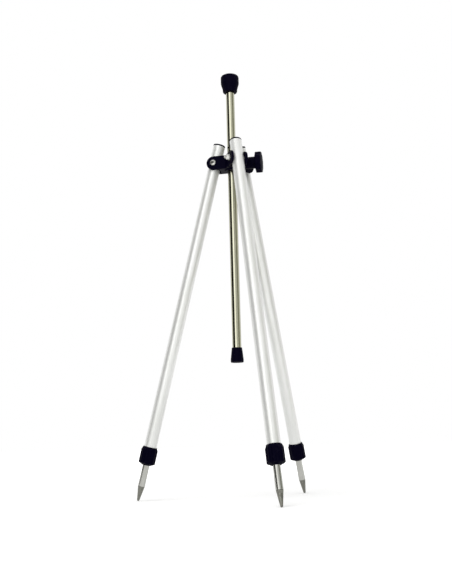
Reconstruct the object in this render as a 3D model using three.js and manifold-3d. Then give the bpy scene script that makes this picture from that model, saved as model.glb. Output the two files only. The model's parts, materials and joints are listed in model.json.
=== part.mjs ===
// Surf rod tripod for beach fishing
//
// Three telescopic legs fold on a moulded hub, and a polished mast slides through the hub's barrel.
// A thumb knob clamps the mast, and a twist lock at the end of each leg holds its spiked inner tube.
// Everything is in millimetres with +Z up. The tripod stands open, with its legs pushed in.

import * as THREE from 'three';
import { mergeVertices, toCreasedNormals } from 'three/addons/utils/BufferGeometryUtils.js';
import Module from 'manifold-3d';

const wasm = await Module();
wasm.setup();

// Fits shared by every seat in the tripod
const FIT = 0.3;                    // running clearance between two pieces, per side
const OVERRUN = 2;                  // how far a cutter reaches past the face that it cuts
const WELD = 0.0001;                // vertices nearer than this are one vertex
const CREASE = Math.PI / 5;         // edges sharper than this shade as edges

// Roundness of the turned pieces, in facets
const LARGE_FACETS = 24;
const SMALL_FACETS = 14;
const RIB_FACETS = 3;
const FLUTE_FACETS = 5;
const EAR_FACETS = 8;
const ARC_STEPS = 3;

// Stance
const LEGS = [
  { name: 'left', azimuth: Math.PI },
  { name: 'front', azimuth: -Math.PI / 3 },
  { name: 'rear', azimuth: Math.PI / 3 },
];
const CLAMP_AZIMUTH = 0;
const SPLAY = THREE.MathUtils.degToRad(14.12);
const PIVOT_RADIUS = 36.6;          // from the mast's axis out to a leg's pivot
const LEG_REACH = 704.8;            // from the pivot down to the point of the spike, along the leg

// Outer leg tube
const LEG_DIAMETER = 25;
const LEG_WALL = 1.2;
const LEG_MAST_GAP = 5.5;           // between the mast and the upper end of an open leg's tube
const PLUG_LIP = 3.2;
const PLUG_EDGE = 1.2;
const PLUG_SHANK = 12;
const PLUG_WALL = 1.8;

// Inner leg tube with its guide bush and spike
const INNER_DIAMETER = 14;
const INNER_WALL = 1;
const INNER_DROP = 46.8;            // from the pivot down to the inner tube's upper end
const BUSH_HEAD = 14;
const BUSH_EDGE = 1;
const BUSH_SHANK = 12;
const SPIKE_CONE = 29;
const SPIKE_DIAMETER = 13.6;
const SPIKE_SHANK = 25;
const NOSE_RADIUS = 2.5;

// Twist lock
const INNER_SHOW = 71.5;            // from the collar's lower end down to the point of the spike
const COLLAR_LENGTH = 36.5;
const COLLAR_DIAMETER = 34;
const COLLAR_TOP_BEVEL = 6;
const COLLAR_FOOT_BEVEL = 4;
const COLLAR_RIM = 1.2;             // width of the flat rim round the leg tube
const COLLAR_FLOOR = 3;
const COLLAR_SKIRT = 10;            // how far the collar covers the leg tube
const COLLAR_RIBS = 12;
const COLLAR_RIB_DEPTH = 0.9;
const SLEEVE_PLUG = 25;
const SLEEVE_FLANGE = 2;
const SLEEVE_THREAD_DIAMETER = 21;
const SLEEVE_THREAD_LENGTH = 10;
const COLLET_TOE_DIAMETER = 16.8;
const COLLET_SPLIT = 1.6;

// Pivot bolt, one for each leg
const BOLT_DIAMETER = 6;
const BOLT_HEAD_DIAMETER = 12;
const BOLT_HEAD_HEIGHT = 3.8;
const BOLT_HEAD_RIM = 1.2;
const BOLT_SOCKET = 5;              // across the flats
const BOLT_SOCKET_DEPTH = 2.6;
const BOLT_TAIL = 3.2;              // thread that shows past the nut
const BOLT_CHAMFER = 0.8;
const NUT_ACROSS = 10;              // across the flats
const NUT_HEX = 4.4;
const NUT_COLLAR = 1.6;
const NUT_COLLAR_DIAMETER = 8.6;
const WASHER_DIAMETER = 12.5;
const WASHER_THICKNESS = 1.2;
const BUSHING_DIAMETER = 10;        // the tube round the bolt that keeps the leg from being crushed

// Hub moulding
const BARREL_DIAMETER = 31;
const BARREL_HALF_HEIGHT = 16.6;
const BARREL_EDGE = 1.2;
const EAR_RADIUS = 14.5;
const EAR_WALL = 4.5;
const EAR_EDGE = 1;
const EAR_PAD_DIAMETER = 16;
const EAR_PAD_HEIGHT = 0.6;
const BORE_CHAMFER = 1;
const HARDWARE_ROOM = 1;            // kept free in the hub round a bolt's head and nut

// Mast
const MAST_DIAMETER = 18;
const MAST_WALL = 1;
const MAST_RISE = 196.6;            // from the pivots up to the flat top of the upper cap
const MAST_DROP = 416.8;            // from the pivots down to the foot of the lower cap
const TOP_CAP_HEIGHT = 37;
const TOP_CAP_DIAMETER = 38.4;
const TOP_CAP_NECK_DIAMETER = 30.4;
const TOP_CAP_CORNER = 6;
const TOP_CAP_LIP = 5;
const TOP_CAP_SHOULDER = 19.5;       // height at which the taper reaches the full diameter
const TOP_CAP_CROWN = 7;            // rubber above the end of the mast
const FOOT_CAP_HEIGHT = 29.5;
const FOOT_CAP_DIAMETER = 26;
const FOOT_CAP_NECK_DIAMETER = 21;
const FOOT_CAP_CORNER = 3.5;
const FOOT_CAP_LIP = 0.5;
const FOOT_CAP_FLOOR = 4;

// Mast clamp
const CLAMP_DROP = 1.5;             // the clamp's axis lies this far below the pivots
const BOSS_DIAMETER = 25;
const BOSS_REACH = 50.4;            // from the mast's axis out to the boss's end face
const BOSS_EDGE = 1.5;
const STUD_DIAMETER = 8;
const STUD_CHAMFER = 0.8;
const STUD_GRIP = 9.5;              // how far the stud is sunk in the knob
const PAD_DIAMETER = 10;
const PAD_THICKNESS = 3.6;
const PAD_TRAVEL = 1.25;            // one turn of the thread
const INSERT_DIAMETER = 13;
const INSERT_LENGTH = 16;
const KNOB_ROOM = 2;                // least gap between the knob and the ends of the bolts
const KNOB_DIAMETER = 44.6;
const KNOB_THICKNESS = 13.6;
const KNOB_DOME = 1.6;
const KNOB_EDGE = 1.8;
const KNOB_FLUTES = 10;
const KNOB_FLUTE_DEPTH = 1.6;

// Sizes that follow from the ones above
const legRadius = LEG_DIAMETER / 2;
const legBore = legRadius - LEG_WALL;
const innerRadius = INNER_DIAMETER / 2;
const innerBore = innerRadius - INNER_WALL;
const innerEnd = LEG_REACH - SPIKE_CONE - FIT;
const collarDrop = LEG_REACH - INNER_SHOW - COLLAR_LENGTH;
const legEnd = collarDrop + COLLAR_SKIRT;
const mastRadius = MAST_DIAMETER / 2;
const legLean = PIVOT_RADIUS - mastRadius - LEG_MAST_GAP;
const legAbovePivot = (legLean - legRadius * Math.cos(SPLAY)) / Math.sin(SPLAY);
const plugShank = Math.min(PLUG_SHANK, legAbovePivot - BUSHING_DIAMETER / 2 - 2 * FIT);
const mastBore = mastRadius + FIT;
const barrelRadius = BARREL_DIAMETER / 2;
const slotHalf = legRadius + FIT;
const earFace = slotHalf + EAR_WALL;
const boltSeat = earFace + EAR_PAD_HEIGHT + FIT;
const boltRadius = BOLT_DIAMETER / 2;
const headEnd = boltSeat + BOLT_HEAD_HEIGHT;
const nutEnd = boltSeat + WASHER_THICKNESS + FIT + NUT_HEX + NUT_COLLAR;
const tailEnd = nutEnd + BOLT_TAIL;

// Finishes
const finish = (color, roughness, metalness) => () => (
  new THREE.MeshStandardMaterial({ color, roughness, metalness })
);
const satinAluminium = finish(0xd8d9d4, 0.3, 1);
const polishedSteel = finish(0xc9c8b6, 0.12, 1);
const zincSteel = finish(0xb4b4b0, 0.32, 1);
const darkSteel = finish(0x8a8b88, 0.35, 1);
const brass = finish(0xb9974f, 0.35, 1);
const blackMoulding = finish(0x0b0a16, 0.42, 0);
const blackRubber = finish(0x0c0b12, 0.75, 0);
const nylon = finish(0xe4e2d8, 0.5, 0);

// From a three.js geometry to a solid, and back

function solidOf(geometry) {
  const bare = geometry.clone();
  bare.deleteAttribute('normal');
  bare.deleteAttribute('uv');
  const welded = mergeVertices(bare, WELD);
  const corners = [];
  const index = welded.index.array;
  for (let i = 0; i < index.length; i += 3) {
    const [a, b, c] = [index[i], index[i + 1], index[i + 2]];
    if (a !== b && b !== c && c !== a) corners.push(a, b, c);
  }
  return new wasm.Manifold(new wasm.Mesh({
    numProp: 3,
    vertProperties: welded.attributes.position.array,
    triVerts: Uint32Array.from(corners),
  }));
}

function geometryOf(solid) {
  const mesh = solid.getMesh();
  const geometry = new THREE.BufferGeometry();
  geometry.setAttribute('position', new THREE.BufferAttribute(mesh.vertProperties, 3));
  geometry.setIndex(new THREE.BufferAttribute(mesh.triVerts, 1));
  return toCreasedNormals(geometry, CREASE);
}

function piece(name, solid, material) {
  const mesh = new THREE.Mesh(geometryOf(solid), material());
  mesh.name = name;
  return mesh;
}

// Basic forms

// Points of an arc in a profile, from one angle to another
function arc(centreX, centreY, radius, from, to, steps = ARC_STEPS) {
  return Array.from({ length: steps + 1 }, (_, i) => {
    const angle = from + (to - from) * i / steps;
    return [centreX + radius * Math.cos(angle), centreY + radius * Math.sin(angle)];
  });
}

// A profile of [radius, height] turned about Z
function turnedGeometry(profile, facets) {
  const points = profile.map(([radius, height]) => new THREE.Vector2(radius, height));
  return new THREE.LatheGeometry(points, facets).rotateX(Math.PI / 2);
}

function turned(profile, facets = LARGE_FACETS) {
  return solidOf(turnedGeometry(profile, facets));
}

// A ring profile closes on its first point
function turnedRing(profile, facets = LARGE_FACETS) {
  return turned([...profile, profile[0]], facets);
}

// A solid rod along Z between two heights
function rod(radius, low, high, facets = SMALL_FACETS) {
  return turned([[0, low], [radius, low], [radius, high], [0, high]], facets);
}

// A turned profile of [radius, height, share] whose surface dips between ribs by its share of the depth
function ribbed(profile, ribs, depth, facetsPerRib) {
  const facets = ribs * facetsPerRib;
  const geometry = turnedGeometry(profile, facets);
  const place = geometry.attributes.position;
  for (let i = 0; i < place.count; i += 1) {
    const share = profile[i % profile.length][2] ?? 0;
    const turn = Math.floor(i / profile.length) / facetsPerRib;
    const dip = depth * share * (1 - Math.abs(Math.cos(Math.PI * turn)));
    const radius = Math.hypot(place.getX(i), place.getY(i));
    const scale = radius > 0 ? (radius - dip) / radius : 1;
    place.setXY(i, place.getX(i) * scale, place.getY(i) * scale);
  }
  return solidOf(geometry);
}

// An outline in X and Z, given a thickness along Y that is centred on zero
function plate(outline, thickness, edge = 0) {
  const geometry = new THREE.ExtrudeGeometry(outline, {
    depth: thickness - 2 * edge,
    bevelEnabled: edge > 0,
    bevelThickness: edge,
    bevelSize: edge,
    bevelOffset: -edge,
    bevelSegments: 1,
    curveSegments: EAR_FACETS,
  });
  return solidOf(geometry.translate(0, 0, edge - thickness / 2).rotateX(Math.PI / 2));
}

// A prism along Z with regular sides, as wide across the flats as given
function prism(across, sides, low, high) {
  const radius = across / 2 / Math.cos(Math.PI / sides);
  return turned([[0, low], [radius, low], [radius, high], [0, high]], sides);
}

const alongY = (solid) => solid.rotate([-90, 0, 0]);
const alongX = (solid) => solid.rotate([0, 90, 0]);
const degrees = THREE.MathUtils.radToDeg;

// Hub: a barrel for the mast, three clevises for the legs and a boss for the clamp

// One clevis, in the frame of its leg: X outward, Y along the pivot, origin at the pivot's height
function clevisBlock() {
  const outline = new THREE.Shape();
  outline.moveTo(0, -EAR_RADIUS);
  outline.lineTo(PIVOT_RADIUS, -EAR_RADIUS);
  outline.absarc(PIVOT_RADIUS, 0, EAR_RADIUS, -Math.PI / 2, Math.PI / 2);
  outline.lineTo(0, EAR_RADIUS);
  const ears = plate(outline, 2 * earFace, EAR_EDGE);
  const reach = earFace + EAR_PAD_HEIGHT;
  const pads = alongY(rod(EAR_PAD_DIAMETER / 2, -reach, reach, LARGE_FACETS));
  return ears.add(pads.translate([PIVOT_RADIUS, 0, 0]));
}

// What is cut from a clevis: the slot, the two cradles that stop the leg, and the bolt's hole
function clevisCut() {
  const height = EAR_RADIUS + OVERRUN;
  const back = PIVOT_RADIUS - Math.max(height * Math.tan(SPLAY), BUSHING_DIAMETER / 2 + 2 * FIT);
  const front = PIVOT_RADIUS + EAR_RADIUS + OVERRUN;
  const opening = new THREE.Shape();
  opening.moveTo(back, -height);
  opening.lineTo(front, -height);
  opening.lineTo(front, height);
  opening.lineTo(back, height);
  const slot = plate(opening, 2 * slotHalf);
  const leg = rod(slotHalf, -height - slotHalf, height + slotHalf, LARGE_FACETS);
  const open = leg.rotate([0, -degrees(SPLAY), 0]).translate([PIVOT_RADIUS, 0, 0]);
  const folded = leg.translate([PIVOT_RADIUS, 0, 0]);
  const reach = earFace + EAR_PAD_HEIGHT + OVERRUN;
  const hole = alongY(rod(boltRadius + FIT, -reach, reach)).translate([PIVOT_RADIUS, 0, 0]);
  return slot.add(open).add(folded).add(hole);
}

// Room for the bolt's head, washer and nut beside the ears, wherever the rest of the hub comes near
function hardwareRoom() {
  const wide = Math.max(BOLT_HEAD_DIAMETER, WASHER_DIAMETER) / 2 + HARDWARE_ROOM;
  const narrow = boltRadius + HARDWARE_ROOM;
  const tailRoom = rod(narrow, -tailEnd - HARDWARE_ROOM, -boltSeat);
  const nutSide = rod(wide, -nutEnd, -boltSeat).add(tailRoom);
  const headSide = rod(wide, boltSeat, headEnd + HARDWARE_ROOM);
  return alongY(nutSide.add(headSide)).translate([PIVOT_RADIUS, 0, 0]);
}

function clampBoss() {
  const radius = BOSS_DIAMETER / 2;
  return alongX(turned([
    [0, 0],
    [radius, 0],
    [radius, BOSS_REACH - BOSS_EDGE],
    [radius - BOSS_EDGE, BOSS_REACH],
    [0, BOSS_REACH],
  ])).translate([0, 0, -CLAMP_DROP]);
}

// What is cut for the clamp: a pocket for the pad, a hole for the stud and a seat for the insert
function clampCut() {
  const pocket = mastRadius + FIT + PAD_THICKNESS + FIT + PAD_TRAVEL;
  const seat = BOSS_REACH - INSERT_LENGTH - FIT;
  return alongX(turned([
    [0, 0],
    [PAD_DIAMETER / 2 + FIT, 0],
    [PAD_DIAMETER / 2 + FIT, pocket],
    [STUD_DIAMETER / 2 + FIT, pocket],
    [STUD_DIAMETER / 2 + FIT, seat],
    [INSERT_DIAMETER / 2 + FIT, seat],
    [INSERT_DIAMETER / 2 + FIT, BOSS_REACH + OVERRUN],
    [0, BOSS_REACH + OVERRUN],
  ], SMALL_FACETS)).translate([0, 0, -CLAMP_DROP]);
}

function barrelBody() {
  const half = BARREL_HALF_HEIGHT;
  return turned([
    [0, -half],
    [barrelRadius - BARREL_EDGE, -half],
    [barrelRadius, -half + BARREL_EDGE],
    [barrelRadius, half - BARREL_EDGE],
    [barrelRadius - BARREL_EDGE, half],
    [0, half],
  ]);
}

function barrelBore() {
  const half = BARREL_HALF_HEIGHT;
  const flare = mastBore + BORE_CHAMFER + OVERRUN;
  return turned([
    [0, -half - OVERRUN],
    [flare, -half - OVERRUN],
    [mastBore, -half + BORE_CHAMFER],
    [mastBore, half - BORE_CHAMFER],
    [flare, half + OVERRUN],
    [0, half + OVERRUN],
  ]);
}

function hubSolid() {
  let body = barrelBody().add(clampBoss());
  for (const leg of LEGS) body = body.add(clevisBlock().rotate([0, 0, degrees(leg.azimuth)]));
  for (const leg of LEGS) {
    const cut = clevisCut().add(hardwareRoom());
    body = body.subtract(cut.rotate([0, 0, degrees(leg.azimuth)]));
  }
  return body.subtract(clampCut()).subtract(barrelBore());
}

// Pivot hardware, in the leg's frame with the bolt along Y

function pivotBolt() {
  const rim = BOLT_HEAD_DIAMETER / 2;
  const crown = BOLT_HEAD_HEIGHT - BOLT_HEAD_RIM;
  const dome = Array.from({ length: ARC_STEPS }, (_, i) => {
    const angle = Math.PI / 2 * i / ARC_STEPS;
    return [rim * Math.cos(angle), boltSeat + BOLT_HEAD_RIM + crown * Math.sin(angle)];
  });
  const tail = -tailEnd;
  const body = turned([
    [0, tail],
    [boltRadius - BOLT_CHAMFER, tail],
    [boltRadius, tail + BOLT_CHAMFER],
    [boltRadius, boltSeat],
    [rim, boltSeat],
    ...dome,
    [0, headEnd],
  ], SMALL_FACETS);
  const socket = prism(BOLT_SOCKET, 6, headEnd - BOLT_SOCKET_DEPTH, headEnd + OVERRUN);
  return alongY(body.subtract(socket));
}

function pivotWasher() {
  const high = -boltSeat;
  const low = high - WASHER_THICKNESS;
  const bore = boltRadius + FIT;
  const rim = WASHER_DIAMETER / 2;
  return alongY(turnedRing([[bore, low], [rim, low], [rim, high], [bore, high]], SMALL_FACETS));
}

function pivotNut() {
  const high = -boltSeat - WASHER_THICKNESS - FIT;
  const shoulder = high - NUT_HEX;
  const low = shoulder - NUT_COLLAR;
  const body = prism(NUT_ACROSS, 6, shoulder, high).add(rod(NUT_COLLAR_DIAMETER / 2, low, high));
  return alongY(body.subtract(rod(boltRadius + FIT, low - OVERRUN, high + OVERRUN)));
}

function pivotBushing() {
  const half = slotHalf - FIT;
  const bore = boltRadius + FIT;
  const rim = BUSHING_DIAMETER / 2;
  return alongY(turnedRing([[bore, -half], [rim, -half], [rim, half], [bore, half]], SMALL_FACETS));
}

// Leg, in its own frame: Z up along the leg, origin at the pivot

function legTube() {
  const tube = turnedRing([
    [legBore, -legEnd],
    [legRadius, -legEnd],
    [legRadius, legAbovePivot],
    [legBore, legAbovePivot],
  ]);
  const reach = legRadius + OVERRUN;
  return tube.subtract(alongY(rod(BUSHING_DIAMETER / 2 + FIT, -reach, reach)));
}

// A moulded cap, hollow below, whose lip closes the end of the tube
function legTopPlug() {
  const seat = legAbovePivot + FIT;
  const shank = legBore - FIT;
  const top = seat + PLUG_LIP;
  return turned([
    [0, seat],
    [shank - PLUG_WALL, seat],
    [shank - PLUG_WALL, seat - plugShank],
    [shank, seat - plugShank],
    [shank, seat],
    ...arc(legRadius - PLUG_EDGE, top - PLUG_EDGE, PLUG_EDGE, 0, Math.PI / 2).map(
      ([radius, height], i) => (i === 0 ? [legRadius, seat] : [radius, height]),
    ),
    [0, top],
  ]);
}

function innerTube() {
  return turnedRing([
    [innerBore, -innerEnd],
    [innerRadius, -innerEnd],
    [innerRadius, -INNER_DROP],
    [innerBore, -INNER_DROP],
  ], SMALL_FACETS);
}

// The bush fills the outer tube's bore and steadies the top of the inner tube
function guideBush() {
  const seat = -INNER_DROP + FIT;
  const head = legBore - FIT;
  const shank = innerBore - FIT;
  return turned([
    [0, seat - BUSH_SHANK],
    [shank, seat - BUSH_SHANK],
    [shank, seat],
    [head - BUSH_EDGE, seat],
    [head, seat + BUSH_EDGE],
    [head, seat + BUSH_HEAD - BUSH_EDGE],
    [head - BUSH_EDGE, seat + BUSH_HEAD],
    [0, seat + BUSH_HEAD],
  ], SMALL_FACETS);
}

// A blunt steel point: its cone runs tangent into a ball nose
function spikePoint() {
  const shoulder = -(LEG_REACH - SPIKE_CONE);
  const rim = SPIKE_DIAMETER / 2;
  const centre = -(LEG_REACH - NOSE_RADIUS);
  const reach = Math.hypot(rim, shoulder - centre);
  const tangent = Math.atan2(shoulder - centre, rim) - Math.acos(NOSE_RADIUS / reach);
  const shank = innerBore - FIT;
  return turned([
    [0, -LEG_REACH],
    ...arc(0, centre, NOSE_RADIUS, -Math.PI / 2, tangent).slice(1),
    [rim, shoulder],
    [shank, shoulder],
    [shank, shoulder + SPIKE_SHANK],
    [0, shoulder + SPIKE_SHANK],
  ], SMALL_FACETS);
}

// Twist lock, in the leg's frame

const sleeveSeat = legEnd + FIT;
const sleeveThread = sleeveSeat + SLEEVE_FLANGE;
const sleeveEnd = sleeveThread + SLEEVE_THREAD_LENGTH;
const colletTop = sleeveEnd + FIT;
const collarEnd = collarDrop + COLLAR_LENGTH;
const colletEnd = collarEnd - COLLAR_FLOOR - FIT;
const threadRadius = SLEEVE_THREAD_DIAMETER / 2;
const slideBore = innerRadius + FIT;

// The sleeve is fixed in the end of the leg tube and carries the collar's thread
function lockSleeve() {
  return turnedRing([
    [slideBore, -sleeveEnd],
    [threadRadius, -sleeveEnd],
    [threadRadius, -sleeveThread],
    [legRadius, -sleeveThread],
    [legRadius, -sleeveSeat],
    [legBore - FIT, -sleeveSeat],
    [legBore - FIT, -legEnd + SLEEVE_PLUG],
    [slideBore, -legEnd + SLEEVE_PLUG],
  ], SMALL_FACETS);
}

// The collet is a tapered ring, split so that the collar's cone can close it on the inner tube
function lockCollet() {
  const ring = turnedRing([
    [slideBore, -colletEnd],
    [COLLET_TOE_DIAMETER / 2, -colletEnd],
    [threadRadius, -colletTop],
    [slideBore, -colletTop],
  ], SMALL_FACETS);
  const reach = threadRadius + OVERRUN;
  const split = new THREE.BoxGeometry(reach, COLLET_SPLIT, colletEnd - colletTop + 2 * OVERRUN);
  return ring.subtract(solidOf(split.translate(reach / 2, 0, -(colletEnd + colletTop) / 2)));
}

function lockCollar() {
  const rim = legRadius + FIT;
  const radius = COLLAR_DIAMETER / 2;
  const mouth = slideBore + COLLAR_RIM;
  return ribbed([
    [slideBore, -collarEnd],
    [mouth, -collarEnd],
    [radius, -collarEnd + COLLAR_FOOT_BEVEL, 1],
    [radius, -collarDrop - COLLAR_TOP_BEVEL, 1],
    [rim + COLLAR_RIM, -collarDrop],
    [rim, -collarDrop],
    [rim, -sleeveThread - FIT],
    [threadRadius + FIT, -sleeveThread - FIT],
    [threadRadius + FIT, -colletTop],
    [COLLET_TOE_DIAMETER / 2 + FIT, -collarEnd + COLLAR_FLOOR],
    [slideBore, -collarEnd + COLLAR_FLOOR],
    [slideBore, -collarEnd],
  ], COLLAR_RIBS, COLLAR_RIB_DEPTH, RIB_FACETS);
}

// Mast

const topCapBase = MAST_RISE - TOP_CAP_HEIGHT;
const footCapTop = -MAST_DROP + FOOT_CAP_HEIGHT;
const mastTop = MAST_RISE - TOP_CAP_CROWN - FIT;
const mastFoot = -MAST_DROP + FOOT_CAP_FLOOR + FIT;

function mastTube() {
  return turnedRing([
    [mastRadius - MAST_WALL, mastFoot],
    [mastRadius, mastFoot],
    [mastRadius, mastTop],
    [mastRadius - MAST_WALL, mastTop],
  ]);
}

function mastTopCap() {
  const neck = TOP_CAP_NECK_DIAMETER / 2;
  const full = TOP_CAP_DIAMETER / 2;
  const corner = TOP_CAP_CORNER;
  return turned([
    [0, mastTop + FIT],
    [mastBore, mastTop + FIT],
    [mastBore, topCapBase],
    ...arc(neck - TOP_CAP_LIP, topCapBase + TOP_CAP_LIP, TOP_CAP_LIP, -Math.PI / 2, 0),
    [full, topCapBase + TOP_CAP_SHOULDER],
    ...arc(full - corner, MAST_RISE - corner, corner, 0, Math.PI / 2),
    [0, MAST_RISE],
  ]);
}

function mastFootCap() {
  const neck = FOOT_CAP_NECK_DIAMETER / 2;
  const full = FOOT_CAP_DIAMETER / 2;
  const corner = FOOT_CAP_CORNER;
  return turned([
    [0, -MAST_DROP],
    ...arc(full - corner, -MAST_DROP + corner, corner, -Math.PI / 2, 0),
    [neck, footCapTop - FOOT_CAP_LIP],
    [neck - FOOT_CAP_LIP, footCapTop],
    [mastBore, footCapTop],
    [mastBore, mastFoot - FIT],
    [0, mastFoot - FIT],
  ]);
}

// Mast clamp, along X at the clamp's height

// How far the ends of a leg's bolt come along the clamp's axis
function boltReach({ azimuth }) {
  const turn = azimuth - CLAMP_AZIMUTH;
  const along = Math.max(tailEnd * Math.sin(turn), -headEnd * Math.sin(turn));
  return PIVOT_RADIUS * Math.cos(turn) + along + Math.abs(BOLT_HEAD_DIAMETER / 2 * Math.cos(turn));
}

const bossSeat = BOSS_REACH + 2 * FIT;
const knobSeat = Math.max(bossSeat, Math.max(...LEGS.map(boltReach)) + KNOB_ROOM);
const padFace = mastRadius + FIT;
const padBack = padFace + PAD_THICKNESS;
const studRadius = STUD_DIAMETER / 2;

// The pad's face is hollowed to the mast
function clampPad() {
  const disc = alongX(rod(PAD_DIAMETER / 2, 0, padBack));
  return disc.subtract(rod(padFace, -PAD_DIAMETER, PAD_DIAMETER, LARGE_FACETS));
}

function clampStud() {
  const tip = padBack + FIT;
  const end = knobSeat + STUD_GRIP;
  return alongX(turned([
    [0, tip],
    [studRadius - STUD_CHAMFER, tip],
    [studRadius, tip + STUD_CHAMFER],
    [studRadius, end],
    [0, end],
  ], SMALL_FACETS));
}

function clampInsert() {
  const low = BOSS_REACH - INSERT_LENGTH;
  const bore = studRadius + FIT;
  const rim = INSERT_DIAMETER / 2;
  const profile = [[bore, low], [rim, low], [rim, BOSS_REACH], [bore, BOSS_REACH]];
  return alongX(turnedRing(profile, SMALL_FACETS));
}

function clampKnob() {
  const radius = KNOB_DIAMETER / 2;
  const face = knobSeat + KNOB_THICKNESS;
  const bore = studRadius + FIT;
  const floor = knobSeat + STUD_GRIP + FIT;
  return alongX(ribbed([
    [0, floor],
    [bore, floor],
    [bore, knobSeat],
    [radius - KNOB_EDGE, knobSeat, 1],
    [radius, knobSeat + KNOB_EDGE, 1],
    [radius, face - KNOB_DOME - KNOB_EDGE, 1],
    [radius - KNOB_EDGE, face - KNOB_DOME, 1],
    [radius / 2, face - KNOB_DOME / 4],
    [0, face],
  ], KNOB_FLUTES, KNOB_FLUTE_DEPTH, FLUTE_FACETS));
}

// Assembly

function placed(azimuth, ...children) {
  const group = new THREE.Group();
  group.rotation.z = azimuth;
  group.add(...children);
  return group;
}

function legAssembly({ name, azimuth }) {
  const pivot = new THREE.Group();
  pivot.position.x = PIVOT_RADIUS;
  pivot.add(
    piece(`pivot_bolt_${name}`, pivotBolt(), zincSteel),
    piece(`pivot_washer_${name}`, pivotWasher(), zincSteel),
    piece(`pivot_nut_${name}`, pivotNut(), zincSteel),
  );
  const leg = new THREE.Group();
  leg.rotation.y = -SPLAY;
  leg.add(
    piece(`leg_tube_${name}`, legTube(), satinAluminium),
    piece(`leg_plug_${name}`, legTopPlug(), blackMoulding),
    piece(`pivot_bushing_${name}`, pivotBushing(), zincSteel),
    piece(`lock_sleeve_${name}`, lockSleeve(), nylon),
    piece(`lock_collet_${name}`, lockCollet(), nylon),
    piece(`lock_collar_${name}`, lockCollar(), blackMoulding),
    piece(`inner_tube_${name}`, innerTube(), satinAluminium),
    piece(`guide_bush_${name}`, guideBush(), nylon),
    piece(`spike_${name}`, spikePoint(), darkSteel),
  );
  pivot.add(leg);
  return placed(azimuth, pivot);
}

function clampAssembly() {
  const clamp = new THREE.Group();
  clamp.position.z = -CLAMP_DROP;
  clamp.add(
    piece('clamp_pad', clampPad(), nylon),
    piece('clamp_stud', clampStud(), zincSteel),
    piece('clamp_insert', clampInsert(), brass),
    piece('clamp_knob', clampKnob(), blackMoulding),
  );
  return placed(CLAMP_AZIMUTH, clamp);
}

const tripod = new THREE.Group();
tripod.add(piece('hub', hubSolid(), blackMoulding));
for (const leg of LEGS) tripod.add(legAssembly(leg));
tripod.add(
  piece('mast_tube', mastTube(), polishedSteel),
  piece('mast_top_cap', mastTopCap(), blackRubber),
  piece('mast_foot_cap', mastFootCap(), blackRubber),
);
tripod.add(clampAssembly());

// The origin is on the ground, below the middle of the whole tripod
tripod.updateMatrixWorld(true);
const extent = new THREE.Box3().setFromObject(tripod, true);
const middle = extent.getCenter(new THREE.Vector3());
tripod.position.set(-middle.x, -middle.y, -extent.min.z);

const group = new THREE.Group();
group.add(tripod);

export default group;
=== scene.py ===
"""Looks of the surf rod tripod: smooth turned metal, black mouldings and a plain studio.

Every sub-assembly is drawn in millimetres in its own frame and placed by one matrix, so that each
finished piece stands at the origin with its place in its mesh, in metres, as the CAD nodes do.
"""

from __future__ import annotations

import json
import logging
import math
from dataclasses import dataclass, field
from enum import Enum
from typing import Any, Iterable, Sequence

import bmesh
import bpy
from mathutils import Matrix, Vector

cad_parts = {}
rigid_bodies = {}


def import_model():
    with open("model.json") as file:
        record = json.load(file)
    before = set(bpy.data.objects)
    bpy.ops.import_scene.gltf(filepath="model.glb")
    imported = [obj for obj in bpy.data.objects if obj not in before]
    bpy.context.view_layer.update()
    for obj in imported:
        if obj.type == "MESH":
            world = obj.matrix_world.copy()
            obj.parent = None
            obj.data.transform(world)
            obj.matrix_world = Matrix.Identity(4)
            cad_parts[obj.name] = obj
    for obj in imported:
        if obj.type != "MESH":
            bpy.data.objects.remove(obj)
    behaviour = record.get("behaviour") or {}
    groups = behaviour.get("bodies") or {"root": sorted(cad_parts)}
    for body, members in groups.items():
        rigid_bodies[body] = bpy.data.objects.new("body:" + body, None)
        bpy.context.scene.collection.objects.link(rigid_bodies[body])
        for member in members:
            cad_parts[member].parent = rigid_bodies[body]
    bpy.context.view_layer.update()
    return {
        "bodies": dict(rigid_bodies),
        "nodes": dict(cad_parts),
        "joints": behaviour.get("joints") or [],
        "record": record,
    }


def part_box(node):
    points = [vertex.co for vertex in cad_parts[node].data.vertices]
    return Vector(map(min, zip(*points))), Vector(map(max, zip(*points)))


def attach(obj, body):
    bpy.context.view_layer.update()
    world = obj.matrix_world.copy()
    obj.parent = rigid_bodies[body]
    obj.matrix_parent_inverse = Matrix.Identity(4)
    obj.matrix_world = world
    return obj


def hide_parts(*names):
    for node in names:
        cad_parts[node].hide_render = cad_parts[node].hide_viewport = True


Triple = tuple[float, float, float]

LOG = logging.getLogger("tripod")
MM = 0.001  # a millimetre in metres
ROUND = 96  # faces round a large turned piece
FINE = 48  # faces round a small one
RIBBED = 144  # faces round a ribbed collar
LOBED = 160  # faces round the lobed knob
FILLET_STEPS = 4  # faces across a fillet
FILLET_SHARE = 0.45  # the most of a side that one fillet takes up
STRAIGHT = 0.001  # a corner that turns less than this, in radians, gets no fillet
ON_AXIS = 0.000001  # a radius below this, in millimetres, is a pole
WELD_REACH = 0.002  # points nearer than this, in millimetres, become one
SMOOTH_ANGLE = math.radians(32)  # sharper edges of a turned piece stay sharp
WHITE = (1.0, 1.0, 1.0, 1.0)
MIX_SHARE, MIX_ONE, MIX_OTHER, MIXED = 0, 6, 7, 2  # the Mix node's sockets for colours


class LegPlace(Enum):
    """The three legs, each with its azimuth round the mast in degrees."""

    LEFT = ("left", 180.0)
    FRONT = ("front", -60.0)
    REAR = ("rear", 60.0)

    @property
    def label(self) -> str:
        """The leg's name in the CAD nodes."""
        return self.value[0]

    def turn(self) -> Matrix:
        """The leg's turn round the mast."""
        return Matrix.Rotation(math.radians(self.value[1]), 4, "Z")


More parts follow.
